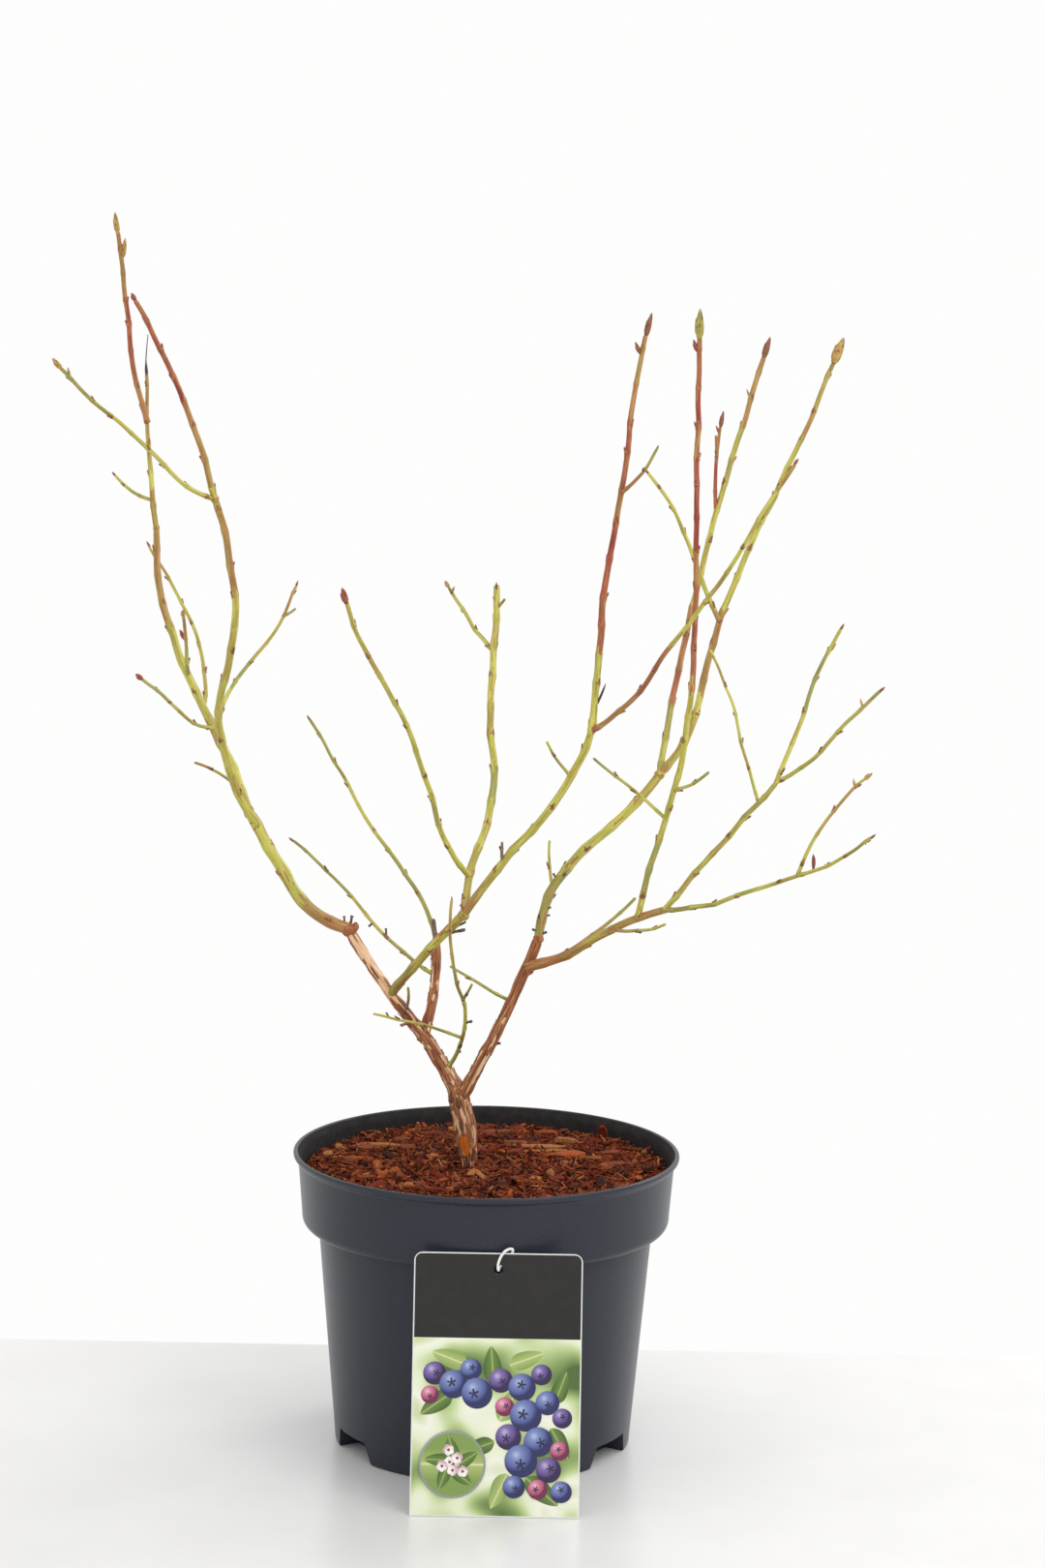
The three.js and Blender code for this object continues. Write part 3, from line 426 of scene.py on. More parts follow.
# Every shoot leaves its parent at a share of the parent's length, and has its
# own length, its thickness at foot and tip, and headings spread evenly along
# it (bearing, rise). The letters are the colours of its bark from foot to tip.
# The last entry is the bud on its tip: its length, width and colour.
SHOOTS = {
    "trunk": (None, 0, 42, (9.6, 10.4), [(103, 73), (139, 67)], "b"),
    "left_limb": ("trunk", 0.971, 96, (6.8, 5), [(155, 60), (164, 46), (165, 61)], "b"),
    "middle_limb": ("left_limb", 0.335, 63, (4.9, 4.3), [(69, 44), (112, 66)], "b"),
    "right_limb": ("trunk", 0.851, 90, (6, 5), [(3, 61), (3, 65), (3, 70)], "b"),
    "left_cane": ("left_limb", 1, 80, (6, 5.2), [(162, 9), (164, 58), (160, 57)], "tgg"),
    "left_outer_cane": ("left_cane", 1, 155, (4.8, 3.2), [(130, 58), (145, 54), (139, 62), (79, 78)], "ygt"),
    "left_outer_top": ("left_outer_cane", 1, 99, (3, 1.3), [(123, 73), (112, 80), (78, 80)], "oootk"),
    "left_red_top": ("left_outer_top", 0.55, 102, (2.8, 2.1),
        [(240, 61), (263, 70), (249, 72)], "nccn", (11, 2.9, "ochre")),
    "left_short_twig": ("left_outer_top", 0.15, 33, (1.9, 1.5), [(133, 1), (137, 37)], "og", (4, 1.7, "brown")),
    "left_back_twig": ("left_outer_cane", 0.38, 108, (2.1, 1.5),
        [(85, 30), (116, 53), (126, 39), (138, 47)], "yggo", (4.5, 1.9, "brown")),
    "left_front_twig": ("left_outer_cane", 0.5, 45, (2.1, 1.7),
        [(273, 41), (268, 52)], "gn", (5, 2.3, "ochre")),
    "left_crossing_twig": ("left_outer_cane", 0.24, 107, (2.3, 1.5),
        [(108, 40), (43, 38), (65, 53)], "tggo", (4, 1.8, "brown")),
    "left_crossing_spur": ("left_crossing_twig", 0.82, 8, (1.5, 1.2), [(20, 20), (20, 40)], "m"),
    "left_low_twig": ("left_outer_cane", 0.3, 77, (1.9, 1.6),
        [(245, 9), (248, 31), (238, 28)], "ggm", (6, 2.7, "red")),
    "left_small_twig": ("left_outer_cane", 0.06, 31, (1.6, 1.3), [(212, 52), (197, 16)], "go"),
    "left_inner_cane": ("left_cane", 0.88, 186, (4, 3.2),
        [(221, 52), (246, 62), (308, 63), (257, 71), (232, 65)], "ygot"),
    "left_inner_top": ("left_inner_cane", 1, 106, (3, 2.3),
        [(246, 64), (226, 62), (215, 57)], "onrr", (4, 2.4, "red")),
    "left_far_twig": ("left_inner_top", 0, 115, (2.3, 1.7),
        [(231, 13), (231, 40), (226, 32), (223, 43)], "ygm", (7, 2.6, "ochre")),
    "middle_cane": ("left_limb", 0.6, 64, (4, 4.4), [(315, 47), (330, 43)], "wto"),
    "middle_tall_shoot": ("middle_cane", 1, 176, (3.8, 3.2),
        [(85, 52), (59, 52), (106, 62), (79, 67), (92, 69)], "ogyo"),
    "middle_tall_side": ("middle_tall_shoot", 0.8, 61, (2.3, 1.7),
        [(114, 19), (120, 36)], "og", (5, 2.2, "ochre")),
    "middle_tall_spur": ("middle_tall_shoot", 0.93, 7, (1.7, 1.3), [(338, 41), (339, 55)], "o"),
    "middle_front_shoot": ("middle_tall_shoot", 0.12, 191, (2.8, 2.1),
        [(237, 34), (252, 53), (248, 51), (233, 47), (247, 56)], "yggo", (9, 3.3, "red")),
    "middle_back_shoot": ("middle_limb", 0.87, 144, (2.3, 1.6),
        [(111, 43), (134, 35), (131, 46), (141, 47)], "mgm", (3.6, 1.8, "brown")),
    "middle_low_shoot": ("middle_limb", 0.53, 102, (2, 1.5),
        [(152, 23), (153, 45), (162, 34)], "mgm", (3.6, 1.8, "brown")),
    "middle_right_cane": ("middle_cane", 1, 112, (4, 3.5), [(339, 57), (351, 48), (344, 73)], "ogyy"),
    "middle_red_top": ("middle_right_cane", 1, 191, (3.5, 2.3),
        [(63, 76), (69, 82), (45, 75), (48, 83), (36, 74)], "yrcrn", (12, 3.1, "brown")),
    "middle_long_fork": ("middle_red_top", 0, 181, (2.6, 1.7),
        [(322, 27), (309, 49), (323, 48), (314, 55), (320, 52)], "rryyo", (4, 2.1, "red")),
    "middle_high_twig": ("middle_red_top", 0.6, 37, (1.9, 1.4),
        [(303, 27), (301, 48)], "ng", (3.6, 1.8, "green")),
    "middle_small_twig": ("middle_right_cane", 0.78, 32, (1.6, 1.3), [(241, 31), (241, 46)], "mg"),
    "middle_dead_spur": ("middle_right_cane", 0.3, 13, (1.8, 1.3), [(245, 52), (290, 60)], "d"),
    "middle_inner_twig": ("left_limb", 0.125, 110, (2.1, 1.4), [(315, 44), (241, 58), (286, 66)], "wmo"),
    "middle_inner_spur": ("middle_inner_twig", 0.45, 18, (1.5, 1.2), [(289, 31), (288, 41)], "wm"),
    "middle_crooked_twig": ("middle_inner_twig", 0.22, 55, (1.6, 1.2), [(220, 23), (210, 14)], "wgm"),
    "middle_spur": ("left_limb", 0.485, 18, (1.6, 1.3), [(293, 49), (260, 56)], "dm"),
    "middle_cross_twig": ("right_limb", 0.62, 39, (1.8, 1.3), [(141, 14), (153, 25)], "wm"),
    "right_cane": ("right_limb", 1, 106, (4.6, 4.3), [(82, 64), (24, 35), (25, 48)], "wgy"),
    "right_back_shoot": ("right_cane", 1, 227, (3.2, 2.6),
        [(74, 62), (66, 63), (61, 64), (55, 65), (47, 65), (45, 67)], "gnygn", (12, 3.5, "brown")),
    "right_back_side": ("right_back_shoot", 0.62, 45, (2, 1.6), [(108, 73), (53, 74)], "rn", (9, 2.4, "brown")),
    "right_back_spur": ("right_back_side", 0.65, 16, (1.6, 1.3), [(264, 40), (265, 50)], "r"),
    "right_long_shoot": ("right_cane", 1, 226, (3.8, 2.2),
        [(22, 43), (46, 76), (32, 67), (21, 63), (21, 64), (23, 68)], "otygt", (14, 5.2, "ochre")),
    "right_long_side": ("right_long_shoot", 0.37, 90, (2.5, 1.6),
        [(226, 54), (224, 63), (202, 47)], "ogyo", (3.6, 1.9, "red")),
    "right_thin_twig": ("right_cane", 0.25, 24, (1.6, 1.2), [(143, 70), (59, 75)], "mg"),
    "right_bough": ("right_limb", 0.83, 85, (4.6, 3.4), [(324, 15), (327, 35), (335, 17)], "ntt"),
    "right_red_shoot": ("right_bough", 0.83, 281, (3, 2.4),
        [(339, 79), (343, 72), (317, 81), (278, 87), (255, 84), (264, 88), (261, 85)], "ggrcc", (14, 4.3, "green")),
    "right_red_left": ("right_red_shoot", 0.18, 56, (1.8, 1.3), [(124, 22), (142, 27)], "gm"),
    "right_red_right": ("right_red_shoot", 0.23, 31, (1.8, 1.4), [(300, 16), (306, 33)], "gm"),
    "right_far_shoot": ("right_bough", 1, 87, (2.8, 2.4), [(328, 50), (333, 49), (337, 50)], "oyg"),
    "right_far_high": ("right_far_shoot", 1, 79, (2.3, 1.7),
        [(35, 61), (35, 69), (20, 57)], "yg", (3.8, 1.9, "brown")),
    "right_far_front": ("right_far_shoot", 1, 82, (2.1, 1.6),
        [(311, 24), (310, 44), (317, 39)], "yg", (3.8, 1.9, "brown")),
    "right_far_back": ("right_far_shoot", 0.85, 94, (1.7, 1.3), [(103, 35), (104, 46), (126, 48)], "gmo"),
    "right_low_shoot": ("right_bough", 1, 140, (2.4, 1.5),
        [(312, 9), (312, 22), (316, 20), (315, 38)], "mgym", (4, 1.7, "brown")),
    "right_low_high": ("right_low_shoot", 0.65, 55, (1.8, 1.4), [(26, 70), (7, 40)], "gyo", (5, 2.2, "ochre")),
    "right_bough_back": ("right_bough", 0.15, 57, (2.2, 1.6), [(31, 18), (23, 43)], "tom"),
    "right_bough_front": ("right_bough", 0.65, 40, (1.8, 1.3), [(304, 0), (315, 24)], "twm"),
}
LIMBS = ["left_limb", "middle_limb", "right_limb"]
CANES = ["left_cane", "left_outer_cane", "left_inner_cane", "middle_cane",
         "middle_right_cane", "right_cane", "right_bough"]
TWIGS = [name for name in SHOOTS if name not in ["trunk", *LIMBS, *CANES]]
RUN_STEPS, FLARE = 60, 0.28
FRONT = Vector((0, -1, 0.01))  # where every shoot's rings and buds start from


def direction(bearing, rise):
    across, above = radians(bearing), radians(rise)
    return Vector((cos(above) * cos(across), cos(above) * sin(across), sin(above)))


def heading_at(name, share):
    """The way a shoot points at a share of its length."""
    ways = [direction(*head) for head in SHOOTS[name][4]]
    place = min(max(share, 0), 0.9999) * (len(ways) - 1)
    low = floor(place)
    return ways[low].lerp(ways[low + 1], place - low).normalized()


def point_at(name, share):
    place = min(max(share, 0), 1) * RUN_STEPS
    low = min(floor(place), RUN_STEPS - 1)
    return runs[name][low].lerp(runs[name][low + 1], place - low)


runs = {}
for name, (parent, at, long, *_) in SHOOTS.items():
    runs[name] = [point_at(parent, at) if parent else TRUNK_FOOT.copy()]
    for step in range(RUN_STEPS):
        way = heading_at(name, (step + 0.5) / RUN_STEPS)
        runs[name].append(runs[name][step] + way * long / RUN_STEPS)


def radius_at(name, along):
    """Half a shoot's thickness. A side shoot has a flared foot; one that carries on has none."""
    parent, at, long, (foot, tip) = SHOOTS[name][:4]
    plain = (foot + (tip - foot) * along / long) / 2
    flare = FLARE if parent and at < 1 else 0
    return plain * (1 + flare * exp(-along / (1.2 * foot)))


def square_to(way, other):
    """The part of a direction that is square to a shoot's way."""
    return (other - way * other.dot(way)).normalized()


def side_of(way, turn):
    """The way out of a shoot's side, turned round the shoot from its front."""
    return Matrix.Rotation(turn, 3, way) @ (FRONT + way * way.y).normalized()


def seeded(name):
    """The same run of random numbers for a name each time."""
    state = 7
    for letter in name:
        state = (state * 31 + ord(letter)) % 65521
    while True:
        state = (state * 16807 + 11) % 2147483647
        yield state / 2147483647


def grain_start(name):
    """Where a shoot's grain starts in the noise, in millimetres."""
    return next(seeded(name)) * 40


BUD_STEP, BUD_SPREAD, BUD_TURN, BUD_CLEAR, BUD_ROOM = 15.5, 3.5, 137.5, 4, 3


def bud_places(name):
    """A shoot's side buds: how far along, the way out, the way on, and whether each is free."""
    random = seeded(name)
    long = SHOOTS[name][2]
    leaving = [row[1] * long for row in SHOOTS.values() if row[0] == name]
    others = [(run, SHOOTS[other][3][0] / 2) for other, run in runs.items() if other != name]
    places = []
    along = BUD_CLEAR + next(random) * BUD_STEP
    turn = next(random) * 360
    while along < long - BUD_CLEAR:
        way = heading_at(name, along / long)
        side = side_of(way, radians(turn))
        foot = point_at(name, along / long) + side * radius_at(name, along) * 0.75
        free = all(abs(leaves - along) > BUD_CLEAR for leaves in leaving)
        free = free and all((spot - foot).length > BUD_ROOM + half for run, half in others for spot in run)
        places.append((along, side, way, free))
        along += BUD_STEP + (next(random) - 0.5) * 2 * BUD_SPREAD
        turn += BUD_TURN
    return places


buds_of = {name: bud_places(name) for name in SHOOTS}
KINK, THIN_KINK, THICK_FROM = 0.5, 0.36, 3.6  # how far a shoot steps away from each bud, in millimetres


def centre_at(name, along):
    """A point of a shoot's middle, which runs straight from bud to bud and turns a little at each."""
    long, thick = SHOOTS[name][2:4]
    step = KINK if thick[0] > THICK_FROM else THIN_KINK
    if name in LIMBS or name == "trunk":
        step = 0
    turns = [(0, Vector()), *((at, side * -step) for at, side, _, _ in buds_of[name]), (long, Vector())]
    for (start, first), (end, last) in zip(turns, turns[1:]):
        if along <= end:
            break
    share = min(max((along - start) / (end - start), 0), 1)
    return point_at(name, along / long) + first.lerp(last, share)


def smooth_step(low, high, value):
    share = min(max((value - low) / (high - low), 0), 1)
    return share * share * (3 - 2 * share)


def flaking_bark(depth, kept, patch=(0, 0, 0)):
    """Ridged bark in long strips. It is gone where their noise passes `kept`, and more so over a patch."""
    def skin(angle, along, radius, seed):
        x, y = cos(angle) * radius, sin(angle) * radius
        strips = noise.noise(Vector((x * 0.5 + seed, y * 0.5, along * 0.045)))
        frayed = noise.noise(Vector((x * 1.4, y * 1.4 + seed, along * 0.2)))
        ridges = noise.noise(Vector((x * 1.8, y * 1.8 - seed, along * 0.09)))
        start, end, more = patch
        over = more * smooth_step(start - 5, start + 5, along) * (1 - smooth_step(end - 5, end + 5, along))
        plate = smooth_step(-0.06, 0.06, kept - over - strips - 0.28 * frayed)
        lumps = noise.noise(Vector((x * 0.3, y * 0.3 + seed, along * 0.16)))
        lift = 0.45 * (plate - 1) + 0.7 * ridges * (0.35 + 0.65 * plate) + 0.3 * frayed + 0.5 * lumps
        groove_shade = smooth_step(0.1, 0.26, -ridges)  # painted shade: the grooves between the ridges take the dark colour of a strip's edge
        return depth * lift, plate * (1 - 0.42 * groove_shade)
    return skin


def young_bark(angle, along, radius, seed):
    """The bark of a cane: nearly smooth, with faint ribs."""
    rib = noise.noise(Vector((cos(angle) * 1.6 + seed, sin(angle) * 1.6, along * 0.02)))
    return radius * 0.05 * rib, 1


NARROWED = {  # where a shoot is thinner than its even taper: so far along it, to such a share
    "trunk": [(2, 0.62), (7, 0.72), (15, 0.95), (33, 1), (42, 0.72)],
    "middle_limb": [(50, 1), (53, 0.52), (63, 0.44)],
    "left_outer_top": [(81, 1), (85, 0.42), (99, 0.3)],
}


def narrowed(name, along):
    steps = [(0, 1.0), *NARROWED.get(name, [])]
    for (start, first), (end, last) in zip(steps, steps[1:]):
        if along <= end:
            return first + (last - first) * (along - start) / (end - start) if start else last
    return steps[-1][1]


def grow(name, sides, step, skin, swell=0.22):
    """One shoot as a closed bar, cut into rings that follow its run."""
    long = SHOOTS[name][2]
    tip = radius_at(name, long)
    rings = max(4, round(long / step))
    places = [((long - tip) * ring / rings, 1) for ring in range(rings + 1)]
    places += [(long - tip * 0.45, 0.86), (long - tip * 0.1, 0.5)]
    seed = grain_start(name)
    frames, across = [], FRONT
    for along, narrow in places:
        way = heading_at(name, along / long)
        across = square_to(way, across)
        wander = Vector([noise.noise(Vector((seed, 7.3 * part, along * 0.07))) for part in (1, 2, 3)])
        centre = centre_at(name, along) + wander * min(0.4, along * 0.02)
        radius = radius_at(name, along) * narrowed(name, along) * narrow
        frames.append((along, centre, across, way.cross(across), radius))
    bar = bmesh.new()
    bmesh.ops.create_cone(bar, cap_ends=True, segments=sides, radius1=1, radius2=1, depth=1)
    cut_across(bar, 2, len(frames) - 2)
    grain = bar.verts.layers.float_vector.new("grain")
    plates = bar.verts.layers.float.new("plate")
    for point in bar.verts:
        along, centre, across, over, radius = frames[round((point.co.z + 0.5) * (len(frames) - 1))]
        angle = atan2(point.co.y, point.co.x)
        outward = across * cos(angle) + over * sin(angle)
        swollen = 1.0
        for at, side, _, _ in buds_of[name]:
            near = (along - at) / (1.3 * radius)
            if abs(near) < 2.5:
                swollen += swell * (0.35 + 0.65 * max(0, outward.dot(side))) * exp(-near * near)
        lift, plate = skin(angle, along, radius, seed)
        point.co = (centre + outward * (radius * swollen + lift)) * MM
        point[grain] = Vector((cos(angle) * radius + seed, sin(angle) * radius, along)) * MM
        point[plates] = plate
    return bar


def grain_of(face, grain):
    """Where a face lies in its shoot's grain, in millimetres."""
    return sum((point[grain] for point in face.verts), Vector()) / len(face.verts) / MM


KNOTS = {  # where shoots part: the shoot that leaves, the place off its foot, size, stretch, seed and roughness
    "trunk": [("left_limb", (0.6, 0, -2.5), 4.9, (1.05, 0.95, 1.5), 3, 0.8)],
    "left_limb": [("left_cane", (0, 0, -0.6), 3.3, (1.15, 1, 1), 5, 0.5),
                  ("left_cane", (3.2, -0.6, 1.2), 1.6, (1, 1, 1.4), 8, 0.6)],
    "middle_limb": [("middle_limb", (0, 0.4, -0.4), 3.2, (1.1, 1, 1.3), 12, 0.5)],
    "right_limb": [("right_bough", (0.6, 0, -0.6), 2.9, (1, 1, 1.4), 15, 0.4),
                   ("right_cane", (0, 0, -0.4), 2.7, (1, 1, 0.9), 17, 0.5)],
    "left_cane": [("left_outer_cane", (0, 0, 0), 2.7, (1, 1, 1.3), 21, 0.5)],
    "left_outer_cane": [("left_outer_top", (0, 0, 0), 1.7, (1, 1, 1.4), 22, 0.6)],
    "left_inner_cane": [("left_inner_top", (0, 0, 0), 1.8, (1, 1, 1.3), 23, 0.6)],
    "middle_cane": [("middle_tall_shoot", (0, 0, 0), 2.5, (1.1, 1, 1.1), 24, 0.6)],
    "middle_right_cane": [("middle_red_top", (0, 0, 0), 2, (1, 1, 1.3), 25, 0.4)],
    "right_cane": [("right_long_shoot", (0, 0, 0), 2.4, (1.1, 1, 1.1), 26, 0.4)],
    "right_bough": [("right_far_shoot", (0, 0, 0), 1.7, (1.3, 1, 1), 27, 0.4),
                    ("right_red_shoot", (0, 0, 0), 2, (1, 1, 1), 28, 0.6)],
}


def knots(name):
    """The gnarled lumps of wood on a limb or cane where shoots part."""
    lumps = []
    for leaves, off, size, squash, seed, rugged in KNOTS[name]:
        spot, start, turned_start = runs[leaves][0] + Vector(off), Vector((seed, 0, 0)), Vector((0, seed, 0))
        lump = bmesh.new()
        bmesh.ops.create_icosphere(lump, subdivisions=4, radius=1)
        grain = lump.verts.layers.float_vector.new("grain")
        plates = lump.verts.layers.float.new("plate")
        for point in lump.verts:
            way = point.co.normalized()
            rough = noise.noise(way * 1.5 + start) * 0.26 + noise.noise(way * 4.5 + turned_start) * 0.12
            rough *= rugged
            point[grain] = (way * size + start) * MM
            point[plates] = smooth_step(-0.3, -0.2, rough)
            stretched = Vector(part * scale for part, scale in zip(way, squash))
            point.co = (spot + stretched * size * (1 + rough)) * MM
        lumps.append(lump)
    return lumps


def bark_finish(name, bark_shades, bare_shades, edge):
    """Bark streaked along its grain, pale where a strip of it has gone, with a thin dark edge there."""
    made = finish(name, bark_shades, 1.5, 0.5, bump=0.35, stretch=(1, 1, 0.1), follows="grain", gloss=0.25)
    nodes, links = made.node_tree.nodes, made.node_tree.links
    shader = nodes["Principled BSDF"]
    streaks = next(n for n in nodes if n.type == "TEX_NOISE").outputs["Fac"]
    colour = shader.inputs["Base Color"].links[0].from_socket
    left = carried(nodes, "plate")["Fac"]
    for shades, stops in ((bare_shades, ((0.0, 1), (0.42, 1), (0.55, 0), (1.0, 0))),
                          ((edge, edge), ((0.0, 0), (0.4, 0), (0.56, 0.8), (0.75, 0)))):
        shade = ramp(nodes, [(at, paint(*tone)) for at, tone in zip((0.35, 0.62), shades)])
        share = ramp(nodes, [(at, (value, value, value, 1)) for at, value in stops])
        mixed = nodes.new("ShaderNodeMix")
        mixed.data_type = "RGBA"
        links.new(streaks, shade.inputs["Fac"])
        links.new(left, share.inputs["Fac"])
        links.new(share.outputs["Color"], mixed.inputs["Factor"])
        links.new(colour, mixed.inputs["A"])
        links.new(shade.outputs["Color"], mixed.inputs["B"])
        colour = mixed.outputs["Result"]
    links.new(colour, shader.inputs["Base Color"])
    return made


BARE_WOOD = [(204, 150, 108), (240, 208, 168)]
# The lightest shade of the bark makes cream streaks along the grain: partly pale bark, partly painted highlight in
# place of a glossy coat.
trunk_bark = bark_finish("trunk_bark", [(54, 29, 18), (118, 68, 41), (160, 100, 62), (212, 162, 114)],
                         BARE_WOOD, (56, 30, 18))
scrape = finish("scraped_wood", [(160, 76, 16), (204, 108, 26)], 1.2, 0.6,
                bump=0.2, stretch=(1, 1, 0.2), follows="grain", gloss=0.2)
SCRAPE_AT, SCRAPE_LONG, SCRAPE_TURN, SCRAPE_WIDE = 13.4, 5.6, -0.3, 0.56
gnarled = flaking_bark(1.35, 0.2)


def off_scrape(along, angle):
    """How far a spot of the trunk is from the middle of its scraped patch: 1 at the patch's rim."""
    return ((along - SCRAPE_AT) / SCRAPE_LONG) ** 2 + ((angle - SCRAPE_TURN) / SCRAPE_WIDE) ** 2


def trunk_skin(angle, along, radius, seed):
    lift, plate = gnarled(angle, along, radius, seed)
    off = off_scrape(along, angle)
    scraped = 1 - smooth_step(0.75, 1.05, off)
    return lift * (1 - scraped) - 0.55 * scraped, plate if off > 1 else 0.5


trunk = grow("trunk", 96, 0.55, trunk_skin, swell=0.08)
grain = trunk.verts.layers.float_vector["grain"]
for face in trunk.faces:
    middle = grain_of(face, grain)
    if off_scrape(middle.z, atan2(middle.y, middle.x - grain_start("trunk"))) < 0.92:
        face.material_index = 1
piece("trunk_wood", merged([trunk, *knots("trunk")]), [trunk_bark, scrape], "bark", "trunk", sharp=180)

# ---------------------------------------------------------------- limbs
# Three older limbs of the same wood. Long plates of their bark have come
# away and left pale, smooth patches, and the knee of the left limb is knobbly.
# The middle one is dead at its tip, and loose strips hang on all three.
# The lightest shade of the bark makes cream streaks along the grain: partly pale bark, partly painted highlight in
# place of a glossy coat.
limb_bark = bark_finish("limb_bark", [(88, 48, 28), (142, 84, 50), (166, 102, 64), (212, 158, 112)],
                        BARE_WOOD, (72, 38, 22))
dead_wood = finish("dead_wood", [(82, 68, 58), (112, 94, 82), (140, 122, 108)], 0.8, 0.85,
                   bump=0.2, stretch=(1, 1, 0.15), follows="grain")
BARK_OF = {  # how deep each limb's bark is, how much of it is left, and where it is bare
    "left_limb": (0.8, 0.26, (54, 92, 0.42)),
    "middle_limb": (0.5, 0.3, (10, 34, 0.1)),
    "right_limb": (0.5, 0.27, (4, 30, 0.14)),
}
DEAD_FROM = 51
for name in LIMBS:
    limb = grow(name, 56, 0.6, flaking_bark(*BARK_OF[name]), swell=0.06)
    grain = limb.verts.layers.float_vector["grain"]
    for face in limb.faces:
        if name == "middle_limb" and face.verts[0][grain].z > DEAD_FROM * MM:
            face.material_index = 1
    piece(name + "_wood", merged([limb, *knots(name)]), [limb_bark, dead_wood], "bark", name, sharp=180)


def bark_strip(random):
    """A loose strip of bark one unit long and wide, that faces out along X and curls up at its ends."""
    shape = bmesh.new()
    bmesh.ops.create_cube(shape, size=1)
    cut_across(shape, 2, 4)
    curl = random.uniform(0.2, 1.3)
    for point in shape.verts:
        along = point.co.z * 2
        torn = 1 - 0.75 * abs(along) ** 2.5 + random.uniform(-0.12, 0.12)
        point.co.y *= torn
        point.co.x += curl * (along + 0.2) ** 2 - 0.9 * point.co.y ** 2
    return shape


def aimed(foot, points, outward, wide, thick, long):
    """Where a shape goes whose Z axis is to follow `points` and whose X axis faces `outward`."""
    up = points.normalized()
    side = square_to(up, outward)
    turn = Matrix((side, up.cross(side), up)).transposed().to_4x4()
    return Matrix.Translation(foot * MM) @ turn @ Matrix.Diagonal((thick * MM, wide * MM, long * MM, 1))


LOOSE = {  # how many strips hang on each, and up to what share of its length
    "trunk": (60, 0.96), "left_limb": (34, 0.5), "right_limb": (12, 0.5), "middle_limb": (10, 0.7),
}
STRIP_SHADES = {
    "strip_dark": [(78, 44, 28), (122, 74, 46)],
    "strip_brown": [(132, 80, 48), (176, 116, 76)],
    "strip_pale": [(200, 148, 104), (236, 206, 168)],
}
strip_finishes = [finish(name, shades, 0.9, 0.6, bump=0.2) for name, shades in STRIP_SHADES.items()]
random = Random(31)
strips = []
for name, (count, reach) in LOOSE.items():
    long = SHOOTS[name][2]
    for _ in range(count):
        along = random.uniform(3, long * reach)
        way = heading_at(name, along / long)
        side = side_of(way, random.uniform(0, 2 * pi))
        if name == "trunk" and side.y < -0.5 and 4 < along < 23:  # none hangs over the scraped patch
            continue
        radius = radius_at(name, along) * narrowed(name, along)
        foot = point_at(name, along / long) + side * (radius + 0.1)
        strip = bark_strip(random)
        kind = random.choices((0, 1, 2), (3, 4, 3))[0]
        for face in strip.faces:
            face.material_index = kind
        thick, wide, hang = random.uniform(0.22, 0.34), random.uniform(0.6, 1.7), random.uniform(2.5, 7.5)
        place = aimed(foot, way + side * random.uniform(-0.05, 0.07), side, wide, thick, hang)
        bmesh.ops.transform(strip, matrix=place, verts=strip.verts)
        strips.append(strip)
piece("loose_bark", merged(strips), strip_finishes, "bark", sharp=180)

# ---------------------------------------------------------------- canes
# Canes two or three years old. Their smooth skin is yellow-green where the
# sun reaches it, with brown cork at the forks and long streaks of olive.
SKINS = {  # the lowest, middle and highest shade of each colour of bark
    "b": [(120, 68, 42), (162, 98, 64), (188, 126, 86)],
    "w": [(120, 110, 42), (148, 138, 60), (168, 158, 80)],
    "m": [(124, 124, 52), (152, 150, 74), (172, 168, 94)],
    "g": [(148, 148, 48), (180, 174, 74), (200, 196, 100)],
    "y": [(166, 162, 54), (190, 184, 78), (208, 202, 104)],
    "o": [(140, 124, 46), (172, 156, 64), (190, 174, 88)],
    "t": [(134, 102, 46), (164, 132, 64), (186, 154, 86)],
    "n": [(130, 84, 42), (168, 112, 60), (190, 138, 84)],
    "r": [(124, 62, 34), (162, 92, 54), (186, 118, 76)],
    "c": [(114, 40, 24), (154, 66, 42), (182, 94, 64)],
    "d": [(84, 68, 54), (116, 96, 78), (140, 120, 98)],
    "k": [(36, 26, 24), (56, 42, 38), (80, 62, 56)],
    "q": [(104, 58, 32), (138, 82, 46), (162, 108, 64)],
}
CORKY = {  # cork that runs on from a cane's foot: how far, how little of it, and more on the upper side
    "left_cane": (26, 0.34, 0.3), "right_bough": (14, 0.22, 0.1),
    "right_cane": (2, 0.34, 0), "middle_cane": (4, 0.36, 0.1),
}
SUNNED = dict(zip("ygmwotnrc", "ooogtntnr"))  # what each shade turns to in streaks
KINDRED = {  # what each length from bud to bud is dealt, for the colour of its shoot there
    "w": "wwwm", "m": "mmmgw", "g": "gggym", "y": "yyygo", "o": "ooyt", "t": "ttto",
    "n": "nnntr", "r": "rrnc", "c": "cccrn", "d": "d", "k": "k",
}
skins = [finish("skin_" + letter, shades, 1.5, 0.46, bump=0.12, stretch=(1, 1, 0.12), follows="grain")
         for letter, shades in SKINS.items()]
LETTERS = list(SKINS)
random_of = {name: Random(number) for number, name in enumerate(SHOOTS)}


def letter_at(name, along):
    """The colour in a shoot's row for a place along it."""
    long, colours = SHOOTS[name][2], SHOOTS[name][5]
    return colours[min(int(along / long * len(colours)), len(colours) - 1)]


def around_of(name, along, side):
    """Which way round a shoot a bud's side is, as grow turns it."""
    across = FRONT
    for step in range(RUN_STEPS + 1):
        way = heading_at(name, min(step / RUN_STEPS, along / SHOOTS[name][2]))
        across = square_to(way, across)
    return Vector((side.dot(across), side.dot(way.cross(across))))


